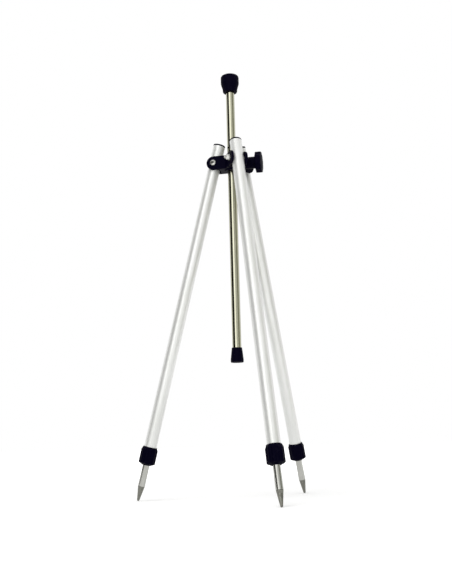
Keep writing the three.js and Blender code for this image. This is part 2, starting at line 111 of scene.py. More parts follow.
class Slot(Enum):
    """The record's material slots."""

    SATIN = "satin_aluminium"
    POLISHED = "polished_steel"
    ZINC = "zinc_steel"
    STEEL = "dark_steel"
    BRASS = "brass"
    MOULDING = "black_moulding"
    RUBBER = "black_rubber"
    NYLON = "nylon"


# Nodes


@dataclass(frozen=True)
class Value:
    """A node's output that takes part in Python expressions."""

    maker: "NodeMaker"
    socket: bpy.types.NodeSocket

    def _math(self, operation: str, *terms: Any) -> "Value":
        """What one Math node makes of Values or numbers."""
        return self.maker.node("ShaderNodeMath", {"operation": operation}, dict(enumerate(terms)))

    def __add__(self, other: Any) -> "Value":
        """Sum."""
        return self._math("ADD", self, other)

    __radd__ = __add__

    def __sub__(self, other: Any) -> "Value":
        """Difference."""
        return self._math("SUBTRACT", self, other)

    def __rsub__(self, other: Any) -> "Value":
        """Difference from a number."""
        return self._math("SUBTRACT", other, self)

    def __mul__(self, other: Any) -> "Value":
        """Product."""
        return self._math("MULTIPLY", self, other)

    __rmul__ = __mul__

    def power(self, exponent: float) -> "Value":
        """The value raised to a power."""
        return self._math("POWER", self, exponent)

    def absolute(self) -> "Value":
        """The value without its sign."""
        return self._math("ABSOLUTE", self)

    def sin(self) -> "Value":
        """Sine of the value in radians."""
        return self._math("SINE", self)

    def cos(self) -> "Value":
        """Cosine of the value in radians."""
        return self._math("COSINE", self)

    def angle_from(self, across: "Value") -> "Value":
        """The azimuth in radians of a point whose Y this is and whose X is given."""
        return self._math("ARCTAN2", self, across)

    def band(self, low: float, high: float) -> "Value":
        """0 below low, 1 above high, and a smooth rise between them."""
        inputs = {0: self, 1: low, 2: high}
        return self.maker.node("ShaderNodeMapRange", {"interpolation_type": "SMOOTHSTEP"}, inputs)

    def sibling(self, output: str) -> "Value":
        """Another output of the same node, by its name."""
        return Value(self.maker, self.socket.node.outputs[output])


class NodeMaker:
    """Adds nodes to one tree."""

    def __init__(self, tree: bpy.types.NodeTree) -> None:
        """Takes in hand the tree that the nodes are added to."""
        self.tree = tree

    def feed(self, socket: bpy.types.NodeSocket, given: Any) -> None:
        """Links or sets an input.

        Args:
            socket: The input.
            given: A Value to link, or a plain setting.
        """
        if isinstance(given, Value):
            self.tree.links.new(given.socket, socket)
        else:
            socket.default_value = given

    def node(
        self, kind: str, settings: dict[str, Any], inputs: dict[Any, Any], out: int | str = 0
    ) -> Value:
        """Adds a node.

        Args:
            kind: The node's type.
            settings: Properties that are set before its sockets.
            inputs: Socket names or numbers, with a setting or a Value each.
            out: The name or number of the output wanted.

        Returns:
            That output.
        """
        made = self.tree.nodes.new(kind)
        for key, setting in settings.items():
            setattr(made, key, setting)
        for key, given in inputs.items():
            self.feed(made.inputs[key], given)
        return Value(self, made.outputs[out])

    def parts(self, vector: Value) -> tuple[Value, Value]:
        """A vector's X and Y."""
        x = self.node("ShaderNodeSeparateXYZ", {}, {0: vector}, "X")
        return x, x.sibling("Y")

    def seen(self) -> Value:
        """1 for a ray of the camera, a reflection or a transmission, 0 for one of light."""
        camera = self.node("ShaderNodeLightPath", {}, {}, "Is Camera Ray")
        rays = camera + camera.sibling("Is Glossy Ray") + camera.sibling("Is Transmission Ray")
        return rays.band(low=0.0, high=0.5)


class Shader(NodeMaker):
    """Builds one material's node tree."""

    def __init__(self, name: str) -> None:
        """Starts a material with a Principled shader.

        Args:
            name: The material's name.
        """
        self.material = bpy.data.materials.new(name)
        self.material.use_nodes = True
        super().__init__(self.material.node_tree)
        self.surface = self.tree.nodes["Principled BSDF"]

    def noise(self, vector: Value, scale: float, detail: float = 3.0) -> Value:
        """Fractal noise round 0.5, read at a vector, with its scale and octaves."""
        inputs = {"Vector": vector, "Scale": scale, "Detail": detail}
        return self.node("ShaderNodeTexNoise", {}, inputs)

    def places(self) -> Value:
        """Object coordinates in metres."""
        return self.node("ShaderNodeTexCoord", {}, {}, "Object")

    def _wound(self) -> tuple[Value, Value]:
        """On a turned piece, the turns round its axis and the metres along its profile."""
        return self.parts(self.node("ShaderNodeUVMap", {"uv_map": "turned"}, {}))

    def turned_noise(self, along: float, scale: float, detail: float = 3.0) -> Value:
        """Fractal noise on a turned surface, read on a cylinder of radius 1, so without a seam.

        Args:
            along: How many units a metre along the profile counts for.
            scale: Its scale.
            detail: Its octaves.

        Returns:
            A value round 0.5.
        """
        turns, length = self._wound()
        turn = turns * math.tau
        inputs = {0: turn.cos(), 1: turn.sin(), 2: length * along}
        return self.noise(self.node("ShaderNodeCombineXYZ", {}, inputs), scale, detail)

    def profile_length(self) -> Value:
        """Distance along a turned piece's profile in metres."""
        return self._wound()[1]

    def blend(self, share: Value, one: Value | Triple, other: Value | Triple) -> Value:
        """Mixes two colours.

        Args:
            share: How much of the second colour.
            one: The first colour.
            other: The second colour.

        Returns:
            The mixed colour.
        """
        inputs: dict[int, Any] = {MIX_SHARE: share}
        for key, colour in ((MIX_ONE, one), (MIX_OTHER, other)):
            inputs[key] = colour if isinstance(colour, Value) else (*colour, 1.0)
        return self.node("ShaderNodeMix", {"data_type": "RGBA"}, inputs, MIXED)

    def bump(self, height: Value, depth: float, strength: float) -> Value:
        """Turns a relief of 0 to 1, with its depth in metres, into a normal."""
        inputs = {"Strength": strength, "Distance": depth, "Height": height}
        return self.node("ShaderNodeBump", {}, inputs)

    def dress(self, **sockets: Any) -> bpy.types.Material:
        """Sets the Principled shader's sockets.

        Args:
            sockets: Socket names with underscores for spaces, and their values.

        Returns:
            The material.
        """
        for key, given in sockets.items():
            self.feed(self.surface.inputs[key.replace("_", " ")], given)
        return self.material


# Finishes


@dataclass(frozen=True)
class Finish:
    """What every finish has.

    Attributes:
        name: The material's name.
        slot: The record's slot.
        colour: Its colour where it is clean.
        worn: Its colour where it is dull, stained, scuffed or dusty.
        roughness: Its mean roughness.
    """

    name: str
    slot: Slot
    colour: Triple
    worn: Triple
    roughness: float

    def material(self) -> bpy.types.Material:
        """Builds the material."""
        raise NotImplementedError


@dataclass(frozen=True)
class DrawnMetal(Finish):
    """A drawn tube: long fine streaks along it, faint handling marks and little grain.

    Attributes:
        spread: How far the roughness varies.
        streak: Depth of the streaks in metres.
        metal: How metallic it is: an anodised skin scatters some light.
    """

    spread: float
    streak: float
    metal: float = 1.0

    def material(self) -> bpy.types.Material:
        """Builds the material."""
        shader = Shader(self.name)
        streaks = shader.turned_noise(along=6.0, scale=26.0, detail=4.0)
        clouds = shader.turned_noise(along=9.0, scale=1.7)
        marks = shader.turned_noise(along=60.0, scale=5.0, detail=5.0).band(low=0.60, high=0.72)
        dulled = (clouds * 0.7 + streaks * 0.3).band(low=0.35, high=0.72)
        varied = (streaks - 0.5) * self.spread + marks * (self.spread * 0.7)
        return shader.dress(
            Base_Color=shader.blend(dulled, self.colour, self.worn),
            Roughness=self.roughness + varied,
            Metallic=self.metal,
            Normal=shader.bump(streaks, self.streak, strength=0.35),
        )


@dataclass(frozen=True)
class TurnedMetal(Finish):
    """A turned or plated piece: fine tool rings along its profile, darker specks and, where given,
    painted shade in its socket.

    Attributes:
        pitch: Distance between tool rings in metres.
        depth: Depth of the tool rings in metres.
        recess: Where along the profile the hex socket's painted shade starts and ends, in metres:
            a darker colour standing in for the shade inside it.
        shade: The colour of that painted shade in the socket.
    """

    pitch: float
    depth: float
    recess: tuple[float, float] | None = None
    shade: Triple = (0.06, 0.06, 0.055)

    def material(self) -> bpy.types.Material:
        """Builds the material."""
        shader = Shader(self.name)
        rings = (shader.profile_length() * (math.tau / self.pitch)).sin() * 0.5 + 0.5
        specks = shader.noise(shader.places(), scale=900.0, detail=4.0)
        stain = shader.noise(shader.places(), scale=160.0).band(low=0.48, high=0.68)
        colour = shader.blend(stain * 0.8, self.colour, self.worn)
        # Painted shade: the hex socket's walls and floor are mixed towards a dark colour, standing
        # in for the shade that falls inside it.
        if self.recess:
            start, end = self.recess
            soft, length = 0.1 * MM, shader.profile_length()
            inside = length.band(start - soft, start) * (1.0 - length.band(end, end + soft))
            colour = shader.blend(inside, colour, self.shade)
        return shader.dress(
            Base_Color=colour,
            Roughness=self.roughness + (specks - 0.5) * 0.16 + stain * 0.08,
            Metallic=1.0,
            Normal=shader.bump(rings * 0.6 + specks * 0.4, self.depth, strength=0.5),
        )


@dataclass(frozen=True)
class PlainMetal(Finish):
    """A metal piece without a turned profile, such as one that the CAD draws.

    Attributes:
        depth: Depth of its specks in metres.
    """

    depth: float = 0.00003

    def material(self) -> bpy.types.Material:
        """Builds the material."""
        shader = Shader(self.name)
        specks = shader.noise(shader.places(), scale=700.0, detail=4.0)
        stain = shader.noise(shader.places(), scale=150.0).band(low=0.45, high=0.7)
        return shader.dress(
            Base_Color=shader.blend(stain, self.colour, self.worn),
            Roughness=self.roughness + (specks - 0.5) * 0.2,
            Metallic=1.0,
            Normal=shader.bump(specks, self.depth, strength=0.4),
        )


@dataclass(frozen=True)
class Moulded(Finish):
    """A moulded plastic or rubber piece: spark-eroded grain, flow clouds and a dusting of scuffs.

    Attributes:
        gloss: Its specular level.
        grain: Size of the grain in metres.
        depth: Depth of the grain in metres.
    """

    gloss: float
    grain: float
    depth: float

    def material(self) -> bpy.types.Material:
        """Builds the material."""
        shader = Shader(self.name)
        place = shader.places()
        grain = shader.noise(place, scale=1.0 / self.grain, detail=2.0)
        clouds = shader.noise(place, scale=45.0, detail=4.0)
        dust = shader.noise(place, scale=230.0, detail=6.0)
        scuffs = (dust * 0.6 + clouds * 0.4).band(low=0.53, high=0.68)
        return shader.dress(
            Base_Color=shader.blend(scuffs, self.colour, self.worn),
            Roughness=self.roughness + (clouds - 0.5) * 0.18 + scuffs * 0.12,
            Specular_IOR_Level=self.gloss,
            Normal=shader.bump(grain * 0.7 + scuffs * 0.3, self.depth, strength=0.6),
        )


SATIN_ALUMINIUM = DrawnMetal(
    "satin_anodised_aluminium", Slot.SATIN, (0.85, 0.855, 0.84), (0.77, 0.78, 0.75),
    roughness=0.38, spread=0.06, streak=0.000006, metal=0.42,
)
BRIGHT_ALUMINIUM = DrawnMetal(
    "bright_inner_tube", Slot.SATIN, (0.5, 0.5, 0.47), (0.36, 0.36, 0.33),
    roughness=0.2, spread=0.06, streak=0.000006,
)
POLISHED_STEEL = DrawnMetal(
    "polished_mast_steel", Slot.POLISHED, (0.47, 0.465, 0.36), (0.42, 0.415, 0.31),
    roughness=0.11, spread=0.04, streak=0.000002,
)
ZINC = TurnedMetal(
    "zinc_plated_nut", Slot.ZINC, (0.74, 0.74, 0.71), (0.55, 0.55, 0.5),
    roughness=0.3, pitch=0.0004, depth=0.00002,
)
# The bolt's hex socket gets painted shade: a darker colour along this stretch of its profile.
BOLT = TurnedMetal(
    "zinc_plated_bolt", Slot.ZINC, (0.52, 0.52, 0.49), (0.32, 0.32, 0.29),
    roughness=0.28, pitch=0.0004, depth=0.00002, recess=(0.0052, 0.0109),
)
SPIKE_STEEL = TurnedMetal(
    "turned_spike_steel", Slot.STEEL, (0.2, 0.2, 0.175), (0.12, 0.118, 0.104),
    roughness=0.18, pitch=0.0007, depth=0.00002,
)
ZINC_PLAIN = PlainMetal(
    "zinc_plated_tube", Slot.ZINC, (0.6, 0.6, 0.58), (0.4, 0.4, 0.37), roughness=0.34
)
BRASS = PlainMetal(
    "brass_insert", Slot.BRASS, (0.62, 0.44, 0.18), (0.4, 0.27, 0.1), roughness=0.33
)
MOULDING = Moulded(
    "black_moulding", Slot.MOULDING, (0.0011, 0.0006, 0.0072), (0.006, 0.005, 0.015),
    roughness=0.46, gloss=0.02, grain=0.00055, depth=0.00006,
)
RUBBER = Moulded(
    "black_rubber", Slot.RUBBER, (0.0011, 0.0006, 0.0072), (0.004, 0.003, 0.011),
    roughness=0.6, gloss=0.03, grain=0.0008, depth=0.00008,
)
NYLON = Moulded(
    "natural_nylon", Slot.NYLON, (0.74, 0.72, 0.64), (0.62, 0.59, 0.5),
    roughness=0.5, gloss=0.5, grain=0.0009, depth=0.00005,
)


class Finishes:
    """Makes each finish's material once."""

    def __init__(self) -> None:
        """Starts with no material made."""
        self._made: dict[str, bpy.types.Material] = {}

    def of(self, finish: Finish) -> bpy.types.Material:
        """Gives a finish's material.

        Args:
            finish: One of the finishes.

        Returns:
            Its material.
        """
        if finish.name not in self._made:
            self._made[finish.name] = finish.material()
        return self._made[finish.name]


# Geometry Nodes trees


class ShapeTree(NodeMaker):
    """Builds one Geometry Nodes tree with named inputs."""

    def __init__(self, name: str, *sizes: str) -> None:
        """Starts a tree with a geometry, its sizes and a material as inputs.

        Args:
            name: The tree's name.
            sizes: The names of its sizes.
        """
        super().__init__(bpy.data.node_groups.new(name, "GeometryNodeTree"))
        kinds = {"Geometry": "Geometry", **dict.fromkeys(sizes, "Float"), "Material": "Material"}
        for label, kind in kinds.items():
            self._socket(label, "INPUT", kind)
        self._socket("Geometry", "OUTPUT", "Geometry")
        self._given = self.tree.nodes.new("NodeGroupInput")
        self._result = self.tree.nodes.new("NodeGroupOutput")

    def _socket(self, label: str, side: str, kind: str) -> None:
        """Adds one of the tree's own sockets, on the side INPUT or OUTPUT."""
        self.tree.interface.new_socket(label, in_out=side, socket_type=f"NodeSocket{kind}")

    def input(self, label: str) -> Value:
        """One of the tree's inputs by its name."""
        return Value(self, self._given.outputs[label])

    def close(self, shape: Value) -> bpy.types.NodeTree:
        """Ends the tree in Realize Instances and Set Material.

        Args:
            shape: The geometry to give out.

        Returns:
            The finished tree.
        """
        real = self.node("GeometryNodeRealizeInstances", {}, {0: shape})
        inputs = {"Geometry": real, "Material": self.input("Material")}
        self.feed(self._result.inputs[0], self.node("GeometryNodeSetMaterial", {}, inputs))
        return self.tree


def grip_tree() -> bpy.types.NodeTree:
    """Hollows a turned surface between evenly spaced ribs, by the mesh's grip attribute.

    Returns:
        The tree, with the inputs Ribs and Depth.
    """
    tree = ShapeTree("hand_grip", "Ribs", "Depth")
    x, y = tree.parts(tree.node("GeometryNodeInputPosition", {}, {}))
    wave = (y.angle_from(x) * (tree.input("Ribs") * 0.5)).cos()
    share = tree.node("GeometryNodeInputNamedAttribute", {"data_type": "FLOAT"}, {"Name": "grip"})
    dip = (1.0 - wave.absolute()) * share * tree.input("Depth")
    flat = tree.node("ShaderNodeCombineXYZ", {}, {0: x, 1: y})
    outward = tree.node("ShaderNodeVectorMath", {"operation": "NORMALIZE"}, {0: flat})
    shifts = {0: outward, "Scale": dip * -1.0}
    shift = tree.node("ShaderNodeVectorMath", {"operation": "SCALE"}, shifts)
    inputs = {"Geometry": tree.input("Geometry"), "Offset": shift}
    return tree.close(tree.node("GeometryNodeSetPosition", {}, inputs))


def thread_tree() -> bpy.types.NodeTree:
    """A helical thread ridge that rises along Z from zero and fades out at both ends.

    Returns:
        The tree, with the inputs Turns, Pitch, Root and Height.
    """
    tree = ShapeTree("screw_thread", "Turns", "Pitch", "Root", "Height")
    turns, root = tree.input("Turns"), tree.input("Root")
    path = tree.node("GeometryNodeCurveSpiral", {}, {
        "Resolution": 28, "Rotations": turns, "Start Radius": root, "End Radius": root,
        "Height": turns * tree.input("Pitch"),
    })
    along = tree.node("GeometryNodeSplineParameter", {}, {}, "Factor")
    full = 1.0 - (along * 2.0 - 1.0).absolute().power(12.0)
    sized = tree.node("GeometryNodeSetCurveRadius", {}, {"Curve": path, "Radius": full})
    sizes = {"Resolution": 6, "Radius": tree.input("Height")}
    ridge = tree.node("GeometryNodeCurvePrimitiveCircle", {}, sizes)
    inputs = {"Curve": sized, "Profile Curve": ridge, "Fill Caps": True}
    return tree.close(tree.node("GeometryNodeCurveToMesh", {}, inputs))


# Meshes


@dataclass(frozen=True)
class Corner:
    """One corner of a turned profile.

    Attributes:
        radius: Distance from the axis in millimetres.
        height: Height in millimetres.
        fillet: Radius of its rounding, or 0 for none.
        grip: How deep the hand grip is there, 0 to 1.
    """

    radius: float
    height: float
    fillet: float = 0.0
    grip: float = 0.0


def profile(*rows: Sequence[float]) -> list[Corner]:
    """Corners from rows of radius and height, with a fillet and a grip where they have them."""
    return [Corner(*row) for row in rows]


def ring(bore: float, rim: float, low: float, high: float, edge: float) -> list[Corner]:
    """A ring's closed profile between two radii and two heights, with rounded edges."""
    return profile((bore, low, edge), (rim, low, edge), (rim, high, edge), (bore, high, edge))


def rod(radius: float, low: float, high: float, edge: float = 0.0) -> list[Corner]:
    """A rod's open profile between two heights, with rounded ends."""
    return profile((0, low), (radius, low, edge), (radius, high, edge), (0, high))


def rounded(corners: Sequence[Corner], closed: bool) -> list[Triple]:
    """Rounds the corners of a profile.

    Args:
        corners: The profile.
        closed: Whether its last corner joins its first.

    Returns:
        Points of radius, height and grip.
    """
    points: list[Triple] = []
    last = len(corners) - 1
    for i, corner in enumerate(corners):
        here = Vector((corner.radius, corner.height))
        if corner.fillet <= 0 or (not closed and i in (0, last)):
            points.append((*here, corner.grip))
            continue
        before, after = corners[i - 1], corners[(i + 1) % len(corners)]
        back = Vector((before.radius, before.height)) - here
        onward = Vector((after.radius, after.height)) - here
        turn = math.pi - back.angle(onward)
        if turn < STRAIGHT:
            points.append((*here, corner.grip))
            continue
        reach = corner.fillet * math.tan(turn / 2)
        reach = min(reach, back.length * FILLET_SHARE, onward.length * FILLET_SHARE)
        start, end = here + back.normalized() * reach, here + onward.normalized() * reach
        for k in range(FILLET_STEPS + 1):
            t = k / FILLET_STEPS
            spot = start * (1 - t) ** 2 + here * (2 * t * (1 - t)) + end * t**2
            points.append((*spot, corner.grip))
    return points


def arc(
    centre: tuple[float, float], radius: float, start: float, end: float, steps: int
) -> list[tuple[float, float]]:
    """Points on an arc from one angle in degrees to another, in even steps."""
    angles = [math.radians(start + (end - start) * i / steps) for i in range(steps + 1)]
    return [(centre[0] + radius * math.cos(a), centre[1] + radius * math.sin(a)) for a in angles]


def placed(name: str, data: bpy.types.ID) -> bpy.types.Object:
    """Puts an object with a mesh, a lamp or a camera in the scene.

    Args:
        name: Its name.
        data: Its mesh, lamp or camera.

    Returns:
        The object.
    """
    made = bpy.data.objects.new(name, data)
    bpy.context.scene.collection.objects.link(made)
    return made


def meshed(name: str, shape: bmesh.types.BMesh) -> bpy.types.Object:
    """Puts a shape in the scene.

    Args:
        name: The object's name.
        shape: The shape, which is freed.

    Returns:
        The object.
    """
    mesh = bpy.data.meshes.new(name)
    shape.to_mesh(mesh)
    shape.free()
    return placed(name, mesh)


class Draft:
    """A mesh in the making, in millimetres in its sub-assembly's frame."""

    def __init__(self, name: str, shape: bmesh.types.BMesh) -> None:
        """Puts a piece's shape in the scene, and frees it."""
        self.object = meshed(name, shape)

    @classmethod
    def turned(
        cls, name: str, corners: Sequence[Corner], segments: int = ROUND, closed: bool = False,
        frame: Matrix | None = None,
    ) -> "Draft":
        """Turns a profile round Z.

        Args:
            name: The piece's name.
            corners: The profile, from bottom to top or round a ring.
            segments: Faces round the turn.
            closed: Whether the profile is a ring.
            frame: Where the turned shape goes.

        Returns:
            The draft, with a UV map of turns and profile length.
        """
        points = rounded(corners, closed)
        shape = bmesh.new()
        layer = shape.loops.layers.uv.new("turned")
        grip = shape.verts.layers.float.new("grip")
        rings: list[list[bmesh.types.BMVert]] = []
        lengths = [0.0]
        for i, (radius, height, share) in enumerate(points):
            rings.append([])
            for k in range(1 if radius < ON_AXIS else segments):
                angle = math.tau * k / segments
                place = (radius * math.cos(angle), radius * math.sin(angle), height)
                vert = shape.verts.new(place)
                vert[grip] = share
                rings[-1].append(vert)
            following = points[(i + 1) % len(points)]
            lengths.append(lengths[-1] + math.dist(points[i][:2], following[:2]) * MM)
        for i in range(len(points) if closed else len(points) - 1):
            low, high = rings[i], rings[(i + 1) % len(rings)]
            if len(low) == 1 and len(high) == 1:
                continue
            for k in range(segments):
                n = k + 1
                wanted = [(low, k, 0), (low, n, 0), (high, n, 1), (high, k, 1)]
                if len(low) == 1:
                    wanted = [(low, k, 0), (high, n, 1), (high, k, 1)]
                elif len(high) == 1:
                    wanted = [(low, k, 0), (low, n, 0), (high, k, 1)]
                face = shape.faces.new([verts[j % len(verts)] for verts, j, _ in wanted])
                for loop, (_, j, side) in zip(face.loops, wanted):
                    loop[layer].uv = (j / segments, lengths[i + side])
        bmesh.ops.recalc_face_normals(shape, faces=shape.faces)
        if frame is not None:
            bmesh.ops.transform(shape, matrix=frame, verts=shape.verts)
        return cls(name, shape)

    @classmethod
    def plate(cls, name: str, outline: Iterable[tuple[float, float]], half: float) -> "Draft":
        """An outline in X and Z with a thickness along Y.

        Args:
            name: The piece's name.
            outline: Its corners.
            half: Half its thickness.

        Returns:
            The draft.
        """
        shape = bmesh.new()
        corners = list(outline)
        near = [shape.verts.new((x, -half, z)) for x, z in corners]
        far = [shape.verts.new((x, half, z)) for x, z in corners]
        shape.faces.new(near)
        shape.faces.new(list(reversed(far)))
        for i, _ in enumerate(corners):
            k = (i + 1) % len(corners)
            shape.faces.new([near[i], far[i], far[k], near[k]])
        bmesh.ops.recalc_face_normals(shape, faces=shape.faces)
        return cls(name, shape)

    @classmethod
    def ridge(
        cls, tree: bpy.types.NodeTree, material: bpy.types.Material, start: float, **sizes: float
    ) -> "Draft":
        """A screw thread's ridge from a start along Z, by the thread's tree and its sizes."""
        seed = cls.turned("ridge", rod(0.01, 0, 0.01), 3)
        return seed.grown(tree, material, **sizes).moved(Matrix.Translation((0, 0, start)))

    def moved(self, frame: Matrix) -> "Draft":
        """Moves the mesh within its frame and gives the draft back."""
        self.object.data.transform(frame)
        return self

    def _settle(self) -> None:
        """Turns the modified shape into a plain mesh and removes the modifiers."""
        graph = bpy.context.evaluated_depsgraph_get()
        mesh = bpy.data.meshes.new_from_object(
            self.object.evaluated_get(graph), preserve_all_data_layers=True, depsgraph=graph
        )
        self.object.modifiers.clear()
        self.object.data = mesh

    def combine(self, others: Sequence["Draft"], operation: str) -> "Draft":
        """Joins, cuts or crosses with other drafts, which are used up.

        Args:
            others: The other drafts.
            operation: UNION, DIFFERENCE or INTERSECT.

        Returns:
            This draft.
        """
        for other in others:
            modifier = self.object.modifiers.new("combine", "BOOLEAN")
            modifier.operation = operation
            modifier.solver = "MANIFOLD"
            modifier.object = other.object
        self._settle()
        for other in others:
            bpy.data.objects.remove(other.object, do_unlink=True)
        return self

    def modified(self, kind: str, **settings: Any) -> "Draft":
        """Applies one modifier.

        Args:
            kind: The modifier's type.
            settings: Its settings.

        Returns:
            This draft.
        """
        modifier = self.object.modifiers.new(kind.lower(), kind)
        for key, setting in settings.items():
            setattr(modifier, key, setting)
        self._settle()
        return self

    def grown(
        self, tree: bpy.types.NodeTree, material: bpy.types.Material, **sizes: float
    ) -> "Draft":
        """Applies a Geometry Nodes tree.

        Args:
            tree: The tree.
            material: What its Set Material sets.
            sizes: Its other named inputs.

        Returns:
            This draft.
        """
        given = {"Material": material, **sizes}
        modifier = self.object.modifiers.new("grown", "NODES")
        modifier.node_group = tree
        for item in tree.interface.items_tree:
            if item.in_out == "INPUT" and item.name != "Geometry":
                modifier[item.identifier] = given[item.name]
        self._settle()
        return self

    def joined(self, *others: "Draft") -> "Draft":
        """Adds other drafts' meshes as loose shells of this one.

        Args:
            others: The other drafts, which are used up.

        Returns:
            This draft.
        """
        shape = bmesh.new()
        shape.from_mesh(self.object.data)
        for other in others:
            shape.from_mesh(other.object.data)
            bpy.data.objects.remove(other.object, do_unlink=True)
        shape.to_mesh(self.object.data)
        shape.free()
        return self


@dataclass
class Workshop:
    """Finishes drafts and hangs them on the CAD frame.

    Attributes:
        finishes: The materials.
        hub: Where the pivots' height meets the mast's axis.
    """

    frame: dict[str, Any]
    finishes: Finishes
    hub: Vector = field(init=False)

    def __post_init__(self) -> None:
        """Finds the mast's axis and the pivots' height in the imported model."""
        low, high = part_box("mast_tube")
        bolt_low, bolt_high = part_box("pivot_bolt_left")
        self.hub = Vector((low.x + high.x, low.y + high.y, bolt_low.z + bolt_high.z)) / 2

    def centre(self) -> Matrix:
        """The frame of the hub and the mast, from millimetres to metres."""
        return Matrix.Translation(self.hub) @ Matrix.Scale(MM, 4)

    def finish(
        self, draft: Draft, finish: Finish, body: str, node: str, frame: Matrix,
        sharp: float = SMOOTH_ANGLE,
    ) -> None:
        """Dresses a draft, places it and hangs it on its body.

        Args:
            draft: The draft.
            finish: Its finish.
            body: The body that it rides on.
            node: The CAD node that it stands for.
            frame: From its own millimetres to the model's metres.
            sharp: Edges sharper than this stay sharp.
        """
        piece = draft.object
        piece.data.transform(frame)
        piece.data.materials.clear()
        piece.data.materials.append(self.finishes.of(finish))
        piece.data.polygons.foreach_set("use_smooth", [True] * len(piece.data.polygons))
        piece.data.polygons.foreach_set("material_index", [0] * len(piece.data.polygons))
        piece.data.set_sharp_from_angle(angle=sharp)
        piece.data.update()
        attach(piece, body)
        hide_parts(node)
        self._report(piece, node)

    def _report(self, piece: bpy.types.Object, node: str) -> None:
        """Logs a piece with its faces and how far its box is from the node's.

        Args:
            piece: The finished piece.
            node: The CAD node that it stands for.
        """
        low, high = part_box(node)
        points = [vert.co for vert in piece.data.vertices]
        apart = max(
            max(abs(min(p[i] for p in points) - low[i]), abs(max(p[i] for p in points) - high[i]))
            for i in range(3)
        )
        faces = len(piece.data.polygons)
        LOG.info("%s: %d faces, %.2f mm from its node's box", piece.name, faces, apart / MM)

    def dress_node(self, node: str, finish: Finish) -> None:
        """Gives a CAD node that shows its material.

        Args:
            node: The node.
            finish: Its finish.
        """
        shown = self.frame["nodes"][node]
        material = self.finishes.of(finish)
        if not shown.material_slots:
            shown.data.materials.append(material)
        for slot in shown.material_slots:
            slot.material = material
        LOG.info("%s: CAD node in %s", node, material.name)


def across_y() -> Matrix:
    """Turns a shape drawn along Z to lie along Y."""
    return Matrix.Rotation(math.radians(-90), 4, "X")


def across_x() -> Matrix:
    """Turns a shape drawn along Z to lie along X."""
    return Matrix.Rotation(math.radians(90), 4, "Y")


# Sub-assemblies


@dataclass
class Stance:
    """How a leg stands on the hub, and the fits that all pieces share.

    Attributes:
        splay: The leg's lean in degrees.
        pivot_radius: From the mast's axis to a pivot.
        fit: Running clearance between two pieces.
        leg_radius: Radius of the leg tube.
        leg_bore: Radius inside the leg tube.
    """

    splay: float = 14.12
    pivot_radius: float = 36.6
    fit: float = 0.3
    leg_radius: float = 12.5
    leg_bore: float = 11.3

    def reach(self) -> Matrix:
        """From the mast's axis to a pivot, along X."""
        return Matrix.Translation((self.pivot_radius, 0, 0))

    def lean(self) -> Matrix:
        """The leg's lean about its pivot."""
        return Matrix.Rotation(math.radians(-self.splay), 4, "Y")

    def pivot(self, leg: LegPlace) -> Matrix:
        """A leg's pivot frame in millimetres, upright: X outward, Y along the bolt."""
        return leg.turn() @ self.reach()

    def along(self, leg: LegPlace) -> Matrix:
        """A leg's own frame in millimetres, with Z up along it."""
        return self.pivot(leg) @ self.lean()


